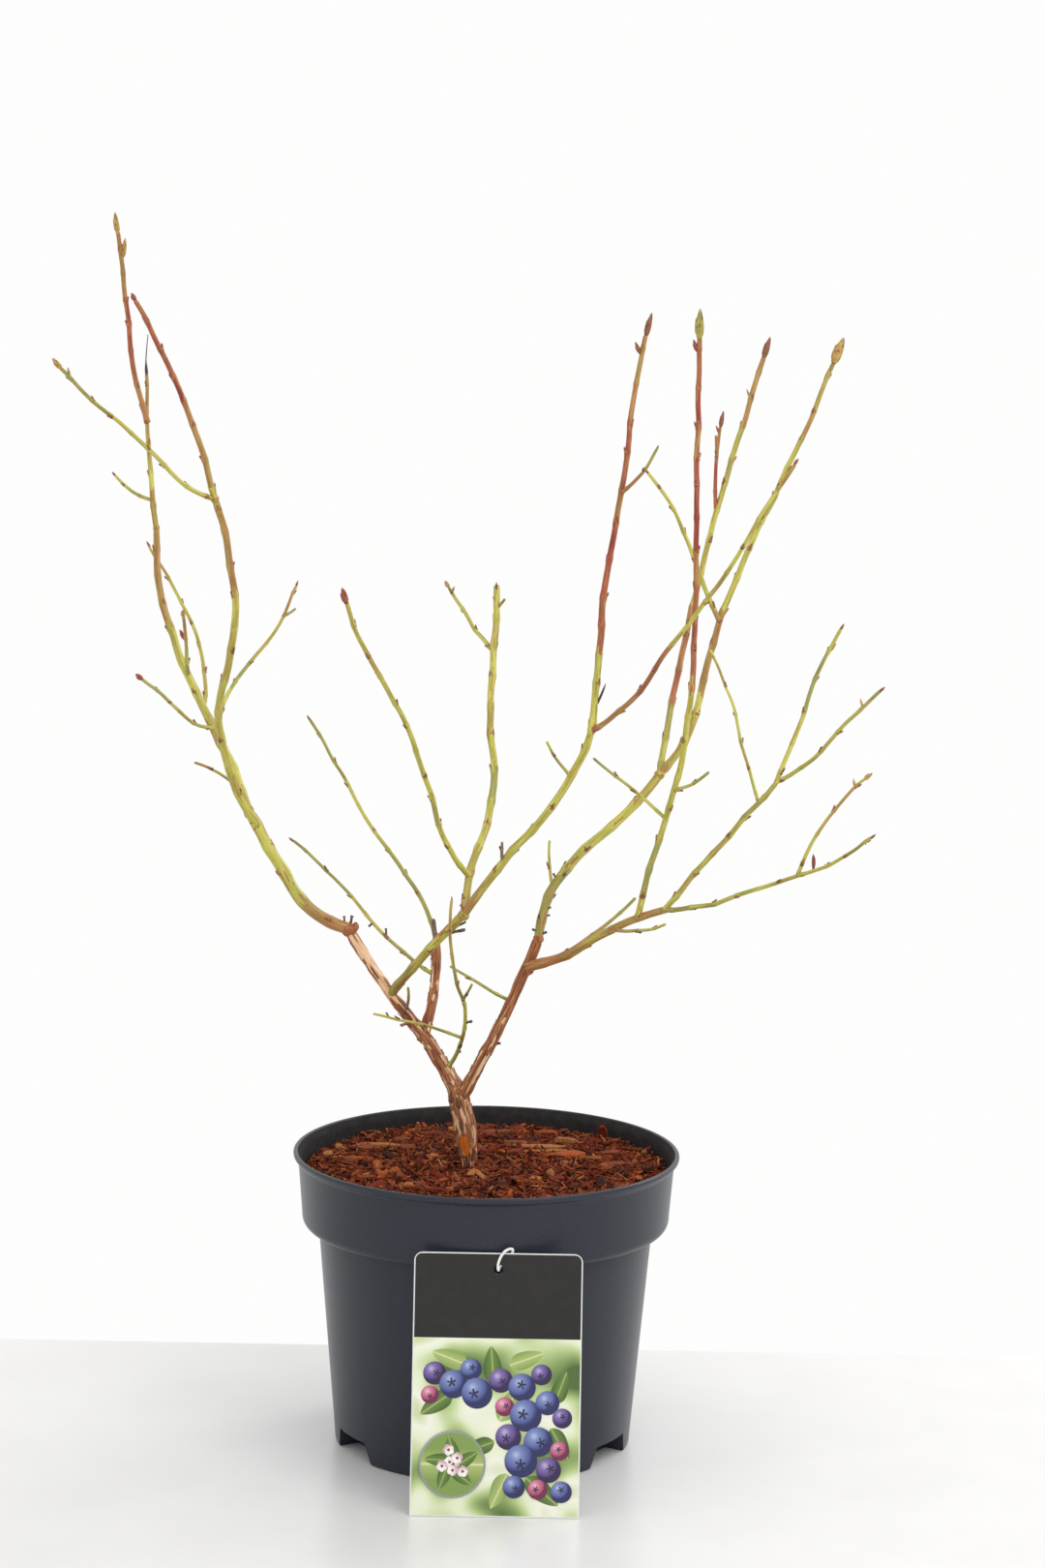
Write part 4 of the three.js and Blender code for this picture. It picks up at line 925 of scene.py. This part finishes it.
def coloured(name, bar):
    """Deals out a shoot's colours from bud to bud, with ragged edges."""
    long, colours = SHOOTS[name][2], SHOOTS[name][5]
    charred = "k" in colours
    nodes = [along for along, *_ in buds_of[name]] or [0]
    changes = [long * step / len(colours) for step in range(1, len(colours))]
    ends = sorted([*nodes, *(at for at in changes if charred or min(abs(at - node) for node in nodes) > 8)])
    dealt = [random_of[name].choice(KINDRED[letter_at(name, (start + end) / 2)])
             for start, end in zip([0, *ends], [*ends, long])]
    raggedness = 3 if charred else 9
    marks = [(at, around_of(name, at, side)) for at, side, _, _ in buds_of[name]]
    collar = random_of[name].uniform(1.4, 2.6) if SHOOTS[name][1] < 1 else 0
    seed = grain_start(name)
    grain = bar.verts.layers.float_vector["grain"]
    for face in bar.faces:
        middle = grain_of(face, grain)
        turn, radius = atan2(middle.y, middle.x - seed), hypot(middle.x - seed, middle.y)
        ragged = noise.noise(Vector((middle.x * 1.5, middle.y * 1.5, middle.z * 0.12)))
        streak = noise.noise(Vector((middle.x * 0.9, middle.y * 0.9, middle.z * 0.06 + 7)))
        letter = dealt[sum(middle.z + ragged * raggedness > end for end in ends)]
        around = Vector((cos(turn), sin(turn)))
        near = min(((middle.z - at) ** 2 + (1.5 * radius * (1 - around.dot(way))) ** 2 for at, way in marks),
                   default=9)
        if near + ragged * 0.6 < 0.6 or middle.z + ragged * 2 < collar:  # a bud's mark, or the shoot's foot
            letter = "n" if letter in "rc" else "q" if ragged > -0.05 else "t"
        elif name in CORKY:
            foot, cork, sun = CORKY[name]
            if streak + sun * face.normal.z + 0.5 * exp(-middle.z / foot) > cork:
                letter = "n"
        elif streak + ragged * 0.3 > 0.2:
            letter = SUNNED.get(letter, letter)
        face.material_index = LETTERS.index(letter)
    return bar


for name in CANES:
    lumps = knots(name)
    for lump in lumps:
        for face in lump.faces:
            mottled = noise.noise(face.calc_center_median() / MM * 0.5) > 0.12
            face.material_index = LETTERS.index("t" if mottled else SHOOTS[name][5][-1])
    cane = coloured(name, grow(name, 24, 1.0, young_bark))
    piece(name + "_wood", merged([cane, *lumps]), skins, "green_cane", name, sharp=180)

# ---------------------------------------------------------------- twigs
# The young shoots, one or two summers old: slender, bent a little at every
# bud, green in the shade and rust-red towards the light.
NODES = [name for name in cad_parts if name.endswith("_twigs")]
shoots = [coloured(name, grow(name, 14, 0.65, young_bark, swell=0.34)) for name in TWIGS]
piece("twigs", merged(shoots), skins, "twigs", *NODES, sharp=180)

# ---------------------------------------------------------------- buds
# A small pointed bud sits above each leaf scar, pressed to the shoot, and the
# fat flower buds at the tips are wrapped in overlapping scales.
BUD_PAINTS = {
    "brown": [(106, 58, 34), (154, 94, 58)],
    "red": [(128, 54, 34), (170, 88, 58)],
    "ochre": [(160, 120, 56), (196, 160, 88)],
    "green": [(138, 128, 50), (172, 164, 80)],
    "dark": [(44, 30, 24), (82, 58, 44)],
    "dead": [(62, 48, 40), (108, 88, 74)],
}
bud_finishes = [finish("bud_" + name, shades, 2.6, 0.45, bump=0.1, detail=2)
                for name, shades in BUD_PAINTS.items()]
PAINT_NAMES = list(BUD_PAINTS)
BUD_OF_SKIN = {"b": "dark", "w": "dark", "m": "brown", "g": "brown", "y": "brown", "o": "brown",
               "t": "red", "n": "red", "r": "red", "c": "red", "d": "dark", "k": "dark"}


def bud_girth(share):
    """The half width of a bud at a share of its length, for one unit wide."""
    return 0.5 * sin(pi * min(1, 0.16 + share * 0.84)) ** 0.8 * (1 - 0.25 * share)


def small_bud():
    """A side bud one unit long and wide, pointing up, with its foot at the origin."""
    shape = bmesh.new()
    bmesh.ops.create_uvsphere(shape, u_segments=8, v_segments=7, radius=0.5)
    for point in shape.verts:
        share = point.co.z + 0.5
        round_it = hypot(point.co.x, point.co.y)
        girth = bud_girth(share) if 0.02 < share < 0.98 else 0
        scale = girth / round_it if round_it > 1e-6 else 0
        point.co = Vector((point.co.x * scale, point.co.y * scale * 0.8, share - 0.1))
    return shape


def scaly_bud():
    """A flower bud one unit long and wide, wrapped in pointed scales."""
    shape = bmesh.new()
    bmesh.ops.create_uvsphere(shape, u_segments=12, v_segments=10, radius=0.5)
    for point in shape.verts:
        share = point.co.z + 0.5
        round_it = hypot(point.co.x, point.co.y)
        scale = bud_girth(share) * 0.94 / round_it if round_it > 1e-6 else 0
        point.co = Vector((point.co.x * scale, point.co.y * scale, share))
    for turn in range(7):
        leaf = bmesh.ops.create_grid(shape, x_segments=4, y_segments=5, size=1)["verts"]
        foot = 0.01 + 0.08 * turn
        for point in leaf:
            up = (point.co.y + 1) / 2
            angle = radians(turn * BUD_TURN) + point.co.x * (1 - up ** 1.6) * 1.15
            share = min(foot + up * 0.48, 1)
            girth = bud_girth(share) * 0.98 + 0.06 * (1 - abs(point.co.x) * 0.7) + 0.03 * up
            point.co = Vector((cos(angle) * girth, sin(angle) * girth, share + 0.02 * up))
        for face in {face for point in leaf for face in point.link_faces}:
            if face.calc_center_median().z > foot + 0.4:
                face.tag = True
    return shape


def leaf_scar():
    """The shelf that a fallen leaf leaves, facing out along X."""
    shape = bmesh.new()
    bmesh.ops.create_uvsphere(shape, u_segments=7, v_segments=5, radius=0.5)
    for point in shape.verts:
        point.co.z *= 0.62 if point.co.z > 0 else 1.0
    return shape


def broken_stub():
    """A stub one unit long and thick, swollen and ragged at its end."""
    shape = bmesh.new()
    bmesh.ops.create_cone(shape, cap_ends=True, segments=7, radius1=0.5, radius2=0.5, depth=1)
    cut_across(shape, 2, 3)
    for point in shape.verts:
        up = point.co.z + 0.5
        girth = 1 - 0.25 * sin(up * pi) + 0.12 * sin(point.co.x * 30 + up * 9)
        point.co = Vector((point.co.x * girth, point.co.y * girth, up + 0.05 * sin(point.co.y * 14) * up))
    return shape


patterns = {}  # each kind of shape in each colour, with the tips of a bud's scales brown
for kind, shape in (("small", small_bud()), ("scaly", scaly_bud()), ("scar", leaf_scar()), ("stub", broken_stub())):
    for number, colour in enumerate(PAINT_NAMES):
        for face in shape.faces:
            face.material_index = PAINT_NAMES.index("brown") if face.tag else number
        patterns[kind, colour] = bpy.data.meshes.new("pattern")
        shape.to_mesh(patterns[kind, colour])
    shape.free()


def leaving(name, share, points):
    """The foot of something that leaves a shoot by pointing a certain way."""
    along = share * SHOOTS[name][2]
    return centre_at(name, along) + square_to(heading_at(name, share), points) * radius_at(name, along) * 0.7


STUBS = [  # dead stubs of broken side twigs: the shoot, the share along it, bearing, rise, length and thickness
    ("left_cane", 0.04, 110, 78, 3.6, 1.4), ("left_cane", 0.0, 50, 74, 4.6, 1.7),
    ("right_limb", 0.37, 350, 12, 2.8, 1.6), ("right_cane", 0.03, 190, 28, 2.3, 1.5),
    ("right_cane", 0.02, 340, 24, 2.6, 1.6), ("right_cane", 0.14, 345, 32, 2.6, 1.3),
    ("right_cane", 0.11, 350, 14, 2.2, 1.2), ("right_cane", 0.32, 345, 40, 2.4, 1.5),
    ("right_cane", 0.3, 165, 60, 2.4, 1.4), ("middle_cane", 0.8, 338, 16, 8.5, 1.9),
    ("middle_cane", 0.84, 342, 32, 8.0, 1.2), ("middle_crooked_twig", 0.62, 215, -12, 4.6, 1.8),
    ("middle_crooked_twig", 0.84, 180, 60, 2.2, 1.1), ("middle_inner_twig", 0.32, 332, 16, 3.2, 1.6),
    ("middle_inner_twig", 0.12, 340, 34, 1.8, 1.0), ("middle_low_shoot", 0.33, 100, 70, 3.4, 1.4),
    ("middle_low_shoot", 0.42, 220, -30, 2.2, 1.4), ("middle_right_cane", 0.02, 200, 60, 3.2, 1.5),
]
stubs = bmesh.new()
for number, (name, share, bearing, rise, long, thick) in enumerate(STUBS):
    points = direction(bearing, rise)
    pattern = patterns["stub", "brown" if number % 3 == 2 else "dead"]
    foot = leaving(name, share, points)
    placed(stubs, pattern, aimed(foot, points, heading_at(name, share), thick, thick, long))
piece("dead_stubs", stubs, bud_finishes, "twigs", sharp=60)

# Side buds and the scars under them, where nothing else leaves the shoot. A
# bud's and a scar's width, thickness and length are for a shoot 4 mm thick.
BUD_SIZE, SCAR_SIZE = Vector((1.6, 1.3, 3.3)), Vector((1.9, 0.9, 1.2))
side_buds, scars = bmesh.new(), bmesh.new()
random = Random(23)
for name, places in buds_of.items():
    for along, side, way, free in places:
        letter = letter_at(name, along)
        if not free or narrowed(name, along) < 0.9 or letter == "b" and (name == "trunk" or random.random() < 0.6):
            continue
        radius = radius_at(name, along)
        size = random.uniform(0.8, 1.15) * (0.75 + 0.12 * radius)
        centre, colour = centre_at(name, along), BUD_OF_SKIN[letter]
        foot, scar = centre + side * radius * 1.02, centre + side * radius * 1.04 - way * 0.8 * size
        placed(side_buds, patterns["small", colour], aimed(foot, way + side * 0.34, side, *(BUD_SIZE * size)))
        colour = "dark" if random.random() < 0.7 else colour
        placed(scars, patterns["scar", colour], aimed(scar, way, side, *(SCAR_SIZE * size)))
piece("side_buds", side_buds, bud_finishes, "twigs", sharp=180)
piece("leaf_scars", scars, bud_finishes, "twigs", sharp=180)

MORE_BUDS = [  # buds beside the tips: the shoot, the share along it, bearing, rise, length, width and colour
    ("left_red_top", 0.87, 300, 74, 10, 2.7, "ochre"), ("left_front_twig", 0.62, 190, 60, 6, 2.3, "red"),
    ("right_back_shoot", 0.9, 200, 66, 5.5, 1.7, "green"), ("middle_red_top", 0.95, 200, 62, 6.5, 2.2, "brown"),
    ("right_red_shoot", 0.975, 190, 70, 6, 2.2, "red"), ("right_far_high", 0.86, 20, 50, 5, 1.9, "ochre"),
    ("right_far_front", 0.84, 120, 60, 4.5, 1.7, "ochre"), ("right_low_high", 0.9, 100, 55, 4.5, 1.8, "ochre"),
    ("left_far_twig", 0.95, 250, 60, 5, 1.8, "ochre"), ("left_back_twig", 0.94, 250, 62, 3.6, 1.4, "brown"),
    ("middle_front_shoot", 0.96, 140, 66, 5, 1.8, "ochre"), ("middle_tall_side", 0.93, 60, 60, 3.6, 1.5, "brown"),
    ("middle_tall_shoot", 0.985, 100, 80, 4.2, 1.7, "brown"), ("middle_tall_shoot", 0.95, 200, 60, 3.4, 1.6, "ochre"),
    ("middle_inner_twig", 0.99, 90, 76, 3.0, 1.2, "brown"), ("right_back_side", 0.93, 200, 66, 4.4, 1.8, "red"),
]
SCALY_FROM = 2.1  # a wider bud is a flower bud, wrapped in scales
grown = []
for name, row in SHOOTS.items():
    if len(row) > 6:
        way = heading_at(name, 1)
        grown.append((runs[name][-1] - way * row[6][0] * 0.08, way, *row[6]))
for name, share, bearing, rise, *sizes in MORE_BUDS:
    points = direction(bearing, rise)
    grown.append((leaving(name, share, points), points, *sizes))
tip_buds = bmesh.new()
for foot, points, long, wide, colour in grown:
    pattern = patterns["scaly" if wide > SCALY_FROM else "small", colour]
    placed(tip_buds, pattern, aimed(foot, points, Vector((0, -1, 0.1)), wide, wide, long))
piece("tip_buds", tip_buds, bud_finishes, "twigs", sharp=60)

# Two narrow leaves that withered on the bush and still hang on.
WITHERED = [  # the shoot, the share along it, bearing, rise, length and width
    ("middle_red_top", 0.05, 350, 68, 15, 1.2), ("right_low_shoot", 0.72, 95, 84, 8, 1.8),
]
leaf_skin = [finish("withered_dark", [(38, 36, 34), (70, 66, 60)], 1.5, 0.6, bump=0.15),
             finish("withered_brown", [(96, 44, 34), (146, 78, 58)], 1.5, 0.6, bump=0.15)]
blades = []
for number, (name, share, bearing, rise, long, wide) in enumerate(WITHERED):
    blade = bmesh.new()
    bmesh.ops.create_grid(blade, x_segments=4, y_segments=10, size=1)
    for point in blade.verts:
        up = (point.co.y + 1) / 2
        broad = sin(pi * min(1, 0.06 + up ** 1.3 * 0.94)) ** 0.8 * 0.5
        point.co = Vector((abs(point.co.x) * broad * 0.9 + 0.35 * sin(up * 3), point.co.x * broad, up))
    bmesh.ops.solidify(blade, geom=blade.faces[:], thickness=0.08)
    foot = centre_at(name, share * SHOOTS[name][2])
    place = aimed(foot, direction(bearing, rise), Vector((0.3, 1, 0.1)), wide, wide, long)
    bmesh.ops.transform(blade, matrix=place, verts=blade.verts)
    for face in blade.faces:
        face.material_index = number
    blades.append(blade)
piece("withered_leaves", merged(blades), leaf_skin, "twigs", sharp=60)

# ---------------------------------------------------------------- label
# A stiff card of printed white plastic that leans on the pot's rim with its
# foot on the ground, its upper corners rounded and a hole punched for the tie.
LABEL_WIDE, LABEL_LONG, LABEL_THICK, LABEL_CORNER = 79, 122.2, 0.6, 4
HOLE, HOLE_DROP = 2.3, 7.6
LABEL_PLACE = (Matrix.Translation(Vector((7.5, -119.4, 0.08)) * MM)
               @ Matrix.Rotation(radians(90 - 12.7), 4, "X") @ Matrix.Scale(MM, 4))
card_plastic = finish("card_plastic", [(226, 228, 224), (240, 241, 238)], 3, 0.35)


def card(half, low, high, corner, height, thick=0, hole=True):
    """A flat plate on the label, with its upper corners rounded and the hole through it."""
    shape = bmesh.new()
    points = [shape.verts.new((x, y, height)) for x, y in ((-half, low), (half, low), (half, high), (-half, high))]
    for start, end in zip(points, points[1:] + points[:1]):
        shape.edges.new((start, end))
    for point in points[2:] if corner else []:
        bmesh.ops.bevel(shape, geom=[point], offset=corner, offset_type="OFFSET", segments=8,
                        profile=0.5, affect="VERTICES", material=-1)
    if hole:
        bmesh.ops.create_circle(shape, segments=32, radius=HOLE,
                                matrix=Matrix.Translation((0, LABEL_LONG - HOLE_DROP, height)))
    bmesh.ops.triangle_fill(shape, use_beauty=True, use_dissolve=False, edges=shape.edges[:])
    bmesh.ops.recalc_face_normals(shape, faces=shape.faces)
    if shape.faces[:][0].normal.z < 0:
        bmesh.ops.reverse_faces(shape, faces=shape.faces)
    if thick:
        grown = bmesh.ops.extrude_face_region(shape, geom=shape.faces[:])["geom"]
        bmesh.ops.translate(shape, verts=[v for v in grown if isinstance(v, bmesh.types.BMVert)], vec=(0, 0, thick))
        bmesh.ops.recalc_face_normals(shape, faces=shape.faces)
    bmesh.ops.transform(shape, matrix=LABEL_PLACE, verts=shape.verts)
    return shape


half = LABEL_WIDE / 2
piece("label_card", card(half, 0, LABEL_LONG, LABEL_CORNER, 0, LABEL_THICK),
      [card_plastic], "label_card", "label", sharp=30)

# The print on its face, laid down colour by colour: a dark heading over a soft
# picture of leaves, round berries and a flower, with a round window in it.
PRINT_EDGE, PRINT_CORNER, HEADING_FOOT, INK = 0.55, 3.2, 82.5, 0.02
edge, top, face_height = half - PRINT_EDGE, LABEL_LONG - PRINT_EDGE, LABEL_THICK + INK
charcoal = finish("charcoal_ink", [(38, 37, 36), (41, 40, 39), (44, 43, 41)], 5, 0.4, gloss=0.3)
piece("label_heading", card(edge, HEADING_FOOT, top, PRINT_CORNER, face_height), [charcoal], "label_card")
MEADOW = [(78, 104, 50), (134, 158, 92), (186, 204, 140), (226, 234, 200), (240, 240, 224), (206, 216, 168)]
meadow = finish("meadow_ink", MEADOW, 24, 0.4, detail=0.6)
piece("label_meadow", card(edge, PRINT_EDGE, HEADING_FOOT, 0, face_height, hole=False), [meadow], "label_card")


def ink(name, stops):
    """Ink that shades outwards from a printed shape's lit spot, or on a leaf from its midrib."""
    made, nodes, links, shader = blank(name, 0.4)
    spot = carried(nodes, "spot")["Vector"]
    if name.startswith("leaf"):
        parts, away = nodes.new("ShaderNodeSeparateXYZ"), nodes.new("ShaderNodeMath")
        away.operation = "ABSOLUTE"
        links.new(spot, parts.inputs["Vector"])
        links.new(parts.outputs["Y"], away.inputs[0])
    else:
        away = nodes.new("ShaderNodeVectorMath")
        away.operation = "DISTANCE"
        away.inputs[1].default_value = (-0.3, 0.38, 0)
        links.new(spot, away.inputs[0])
    shade = ramp(nodes, [(at, paint(*colour)) for at, colour in stops])
    links.new(away.outputs["Value"], shade.inputs["Fac"])
    links.new(shade.outputs["Color"], shader.inputs["Base Color"])
    return made


def printed(outline, x, y, size, turn, layer, colour=0):
    """A printed shape: a disc whose rim is pulled into an outline, laid on the card."""
    shape = bmesh.new()
    bmesh.ops.create_circle(shape, cap_ends=True, cap_tris=True, segments=40, radius=1)
    spot = shape.verts.layers.float_vector.new("spot")
    for point in shape.verts:
        point.co = outline(atan2(point.co.y, point.co.x)) * point.co.length
        point[spot] = point.co
    for face in shape.faces:
        face.material_index = colour
    place = Matrix.Translation((x, y, LABEL_THICK + INK * (layer + 1))) @ Matrix.Rotation(radians(turn), 4, "Z")
    bmesh.ops.transform(shape, matrix=LABEL_PLACE @ place @ Matrix.Scale(size, 4), verts=shape.verts)
    return shape


def disc(angle):
    return Vector((cos(angle), sin(angle), 0))


def leaf(angle):
    narrow = 0.46 * (1 - 0.35 * cos(angle)) * (1 - 0.6 * abs(cos(angle)) ** 6)
    return Vector((cos(angle), sin(angle) * narrow, 0))


def star(angle):
    return disc(angle) * (0.62 + 0.38 * cos(5 * angle))


def blossom(angle):
    return disc(angle) * (0.82 + 0.18 * abs(cos(2.5 * angle)))


INKS = {  # how far out each colour lies, and its shade
    "berry_blue": [(0, (176, 188, 222)), (0.3, (124, 138, 188)), (0.8, (78, 90, 150)), (1.25, (40, 44, 92))],
    "berry_violet": [(0, (190, 176, 212)), (0.35, (128, 108, 168)), (0.85, (84, 62, 122)), (1.25, (48, 32, 76))],
    "berry_pink": [(0, (236, 184, 200)), (0.4, (206, 122, 150)), (0.9, (164, 72, 108)), (1.25, (112, 40, 74))],
    "berry_star": [(0, (58, 56, 96)), (0.8, (26, 26, 56))],
    "leaf_green": [(0, (178, 192, 116)), (0.05, (104, 132, 58)), (0.5, (62, 92, 40))],
    "leaf_pale": [(0, (222, 226, 176)), (0.05, (168, 186, 108)), (0.5, (128, 154, 78))],
    "petal_ink": [(0, (252, 250, 246)), (0.9, (238, 222, 224)), (1.3, (214, 176, 186))],
    "ring_ink": [(0, (166, 170, 166)), (1, (146, 150, 148))],
    "stem_ink": [(0, (150, 104, 66)), (1, (112, 74, 46))],
}
inks = {name: ink(name, stops) for name, stops in INKS.items()}


def print_piece(name, prints, *names):
    piece(name, merged(prints), [inks[one] for one in names], "label_card", sharp=180)


LEAVES = [  # across, up, half length, turn and colour
    (-22, 73, 9, 160, 1), (-2, 70, 9, 95, 0), (14, 73, 8.5, 20, 1), (-28, 52, 9, 215, 0), (30, 60, 8, 70, 0),
    (30, 34, 8.5, 300, 0), (2, 12, 9, 245, 1), (22, 12, 10, 320, 0), (6, 52, 9, 60, 1), (-8, 32, 8, 200, 0),
]
print_piece("label_leaves", [printed(leaf, x, y, size, turn, 1, tone) for x, y, size, turn, tone in LEAVES],
            "leaf_green", "leaf_pale")
BERRIES = [  # across, up, half width and colour
    (-29, 66, 5.4, 1), (-20, 61, 6.6, 0), (-31, 56, 4.2, 2), (-12, 68, 5.0, 0), (-9, 57, 7.2, 0),
    (2, 63, 5.6, 1), (12, 60, 6.4, 0), (21, 66, 4.8, 1), (4, 51, 4.4, 2), (14, 47, 7.4, 0),
    (24, 53, 5.6, 0), (31, 46, 4.6, 1), (6, 37, 6.0, 1), (20, 35, 6.8, 0), (30, 31, 4.4, 2),
    (12, 26, 7.6, 0), (25, 22, 5.8, 1), (20, 13, 4.6, 2), (9, 14, 5.2, 0), (31, 12, 5.0, 0),
]
print_piece("label_berries", [printed(disc, x, y, size, 0, 2 + number, tone)
                              for number, (x, y, size, tone) in enumerate(BERRIES)],
            "berry_blue", "berry_violet", "berry_pink")
SPIRAL = 2.4  # the turn, in radians, from one star or flower to the next
prints = []
for number, (x, y, size, _) in enumerate(BERRIES):
    spot = Vector((x, y, 0)) + 0.2 * size * disc(number * SPIRAL)
    prints.append(printed(star, *spot[:2], size * 0.36, 25 * number, 3 + number))
print_piece("label_stars", prints, "berry_star")
WINDOW = Vector((-20, 24, 0))
prints = [printed(disc, *WINDOW[:2], 15.6, 0, 24, 0), printed(disc, *WINDOW[:2], 14.6, 0, 25, 1)]
for number in range(5):
    spot = WINDOW + 7.2 * disc(radians(72 * number + 20))
    prints.append(printed(leaf, *spot[:2], 6.2, 72 * number + 34, 26, 4))
for number in range(7):
    spot = WINDOW + (0.6 + 1.05 * number) * disc(number * SPIRAL)
    prints += [printed(blossom, *spot[:2], 2.7, 31 * number, 27 + number, 2),
               printed(disc, *spot[:2], 0.7, 0, 28 + number, 3)]
print_piece("label_window", prints, "ring_ink", "leaf_pale", "petal_ink", "stem_ink", "leaf_green")

# ---------------------------------------------------------------- tie
# A short loop of stiff white plastic through the hole, over the card's edge.
TIE_THICK, TIE_OVER, TIE_STAND, TIE_RIGHT = 1.3, 1.9, 1.15, 6.2
middle, eye = LABEL_THICK / 2, LABEL_LONG - HOLE_DROP
above, below = middle + TIE_STAND, middle - TIE_STAND
route = [
    (0, eye - 0.4, middle), (-0.3, eye + 1.4, above), (0.2, LABEL_LONG - 3.6, above + 0.2),
    (1.8, LABEL_LONG - 0.4, above), (TIE_RIGHT * 0.62, LABEL_LONG + TIE_OVER * 0.8, above - 0.4),
    (TIE_RIGHT, LABEL_LONG + TIE_OVER, middle), (TIE_RIGHT + 0.2, LABEL_LONG + TIE_OVER * 0.3, below),
    (TIE_RIGHT * 0.6, LABEL_LONG - 3.5, below), (0.2, eye + 0.6, below),
]
loop = bpy.data.curves.new("tie_loop", "CURVE")
loop.dimensions, loop.bevel_depth, loop.bevel_resolution, loop.resolution_u = "3D", TIE_THICK / 2, 3, 8
line = loop.splines.new("BEZIER")
line.bezier_points.add(len(route) - 1)
line.use_cyclic_u = True
for knob, spot in zip(line.bezier_points, route):
    knob.co = spot
    knob.handle_left_type = knob.handle_right_type = "AUTO"
bent = bpy.data.objects.new("tie_loop", loop)
bpy.context.scene.collection.objects.link(bent)
tie_mesh = bpy.data.meshes.new_from_object(bent.evaluated_get(bpy.context.evaluated_depsgraph_get()))
bpy.data.objects.remove(bent)
tie_mesh.transform(LABEL_PLACE)
tie_shape = bmesh.new()
tie_shape.from_mesh(tie_mesh)
bmesh.ops.recalc_face_normals(tie_shape, faces=tie_shape.faces)
tie_plastic = finish("tie_plastic", [(232, 232, 228), (246, 246, 243)], 2, 0.45, bump=0.03)
piece("label_tie_loop", tie_shape, [tie_plastic], "tie_plastic", "label_tie", sharp=180)

# ---------------------------------------------------------------- studio
# A pale, faintly glossy table, a white room, and soft lamps.
TABLE_BACK, TABLE_FRONT, TABLE_HALF = 0.147, -2.4, 1.8
table_shape = bmesh.new()
bmesh.ops.create_grid(table_shape, x_segments=1, y_segments=1, size=1)
for corner in table_shape.verts:
    corner.co = Vector((TABLE_HALF * corner.co.x, TABLE_BACK if corner.co.y > 0 else TABLE_FRONT, -0.00005))
table_top = finish("table_top", [(230, 229, 228), (235, 234, 233)], 60, 0.28)
table_mesh = bpy.data.meshes.new("table")
table_shape.to_mesh(table_mesh)
table_shape.free()
table_mesh.materials.append(table_top)
table = bpy.data.objects.new("table", table_mesh)
bpy.context.scene.collection.objects.link(table)

room = bpy.data.worlds.new("room")
bpy.context.scene.world = room
room.use_nodes = True
nodes, links = room.node_tree.nodes, room.node_tree.links
walls = nodes["Background"]
walls.inputs["Color"].default_value = (1, 1, 1, 1)
walls.inputs["Strength"].default_value = 0.95
seen = nodes.new("ShaderNodeBackground")
seen.inputs["Color"].default_value = (0.985, 0.985, 0.98, 1)
ray = nodes.new("ShaderNodeLightPath")
choose = nodes.new("ShaderNodeMixShader")
links.new(ray.outputs["Is Camera Ray"], choose.inputs["Fac"])
links.new(walls.outputs["Background"], choose.inputs[1])
links.new(seen.outputs["Background"], choose.inputs[2])
links.new(choose.outputs["Shader"], nodes["World Output"].inputs["Surface"])


def lamp(name, spot, aim, size, watts):
    """A square soft lamp that faces a point."""
    light = bpy.data.lights.new(name, "AREA")
    light.size, light.energy = size, watts
    made = bpy.data.objects.new(name, light)
    bpy.context.scene.collection.objects.link(made)
    away = Vector(spot) - Vector(aim)
    made.matrix_world = Matrix.Translation(spot) @ away.to_track_quat("Z", "Y").to_matrix().to_4x4()


lamp("key", (0.9, -1.1, 1.5), (0, 0, 0.25), 0.9, 9)
lamp("rim", (0.9, 0.7, 0.9), (0, 0, 0.1), 0.6, 4)
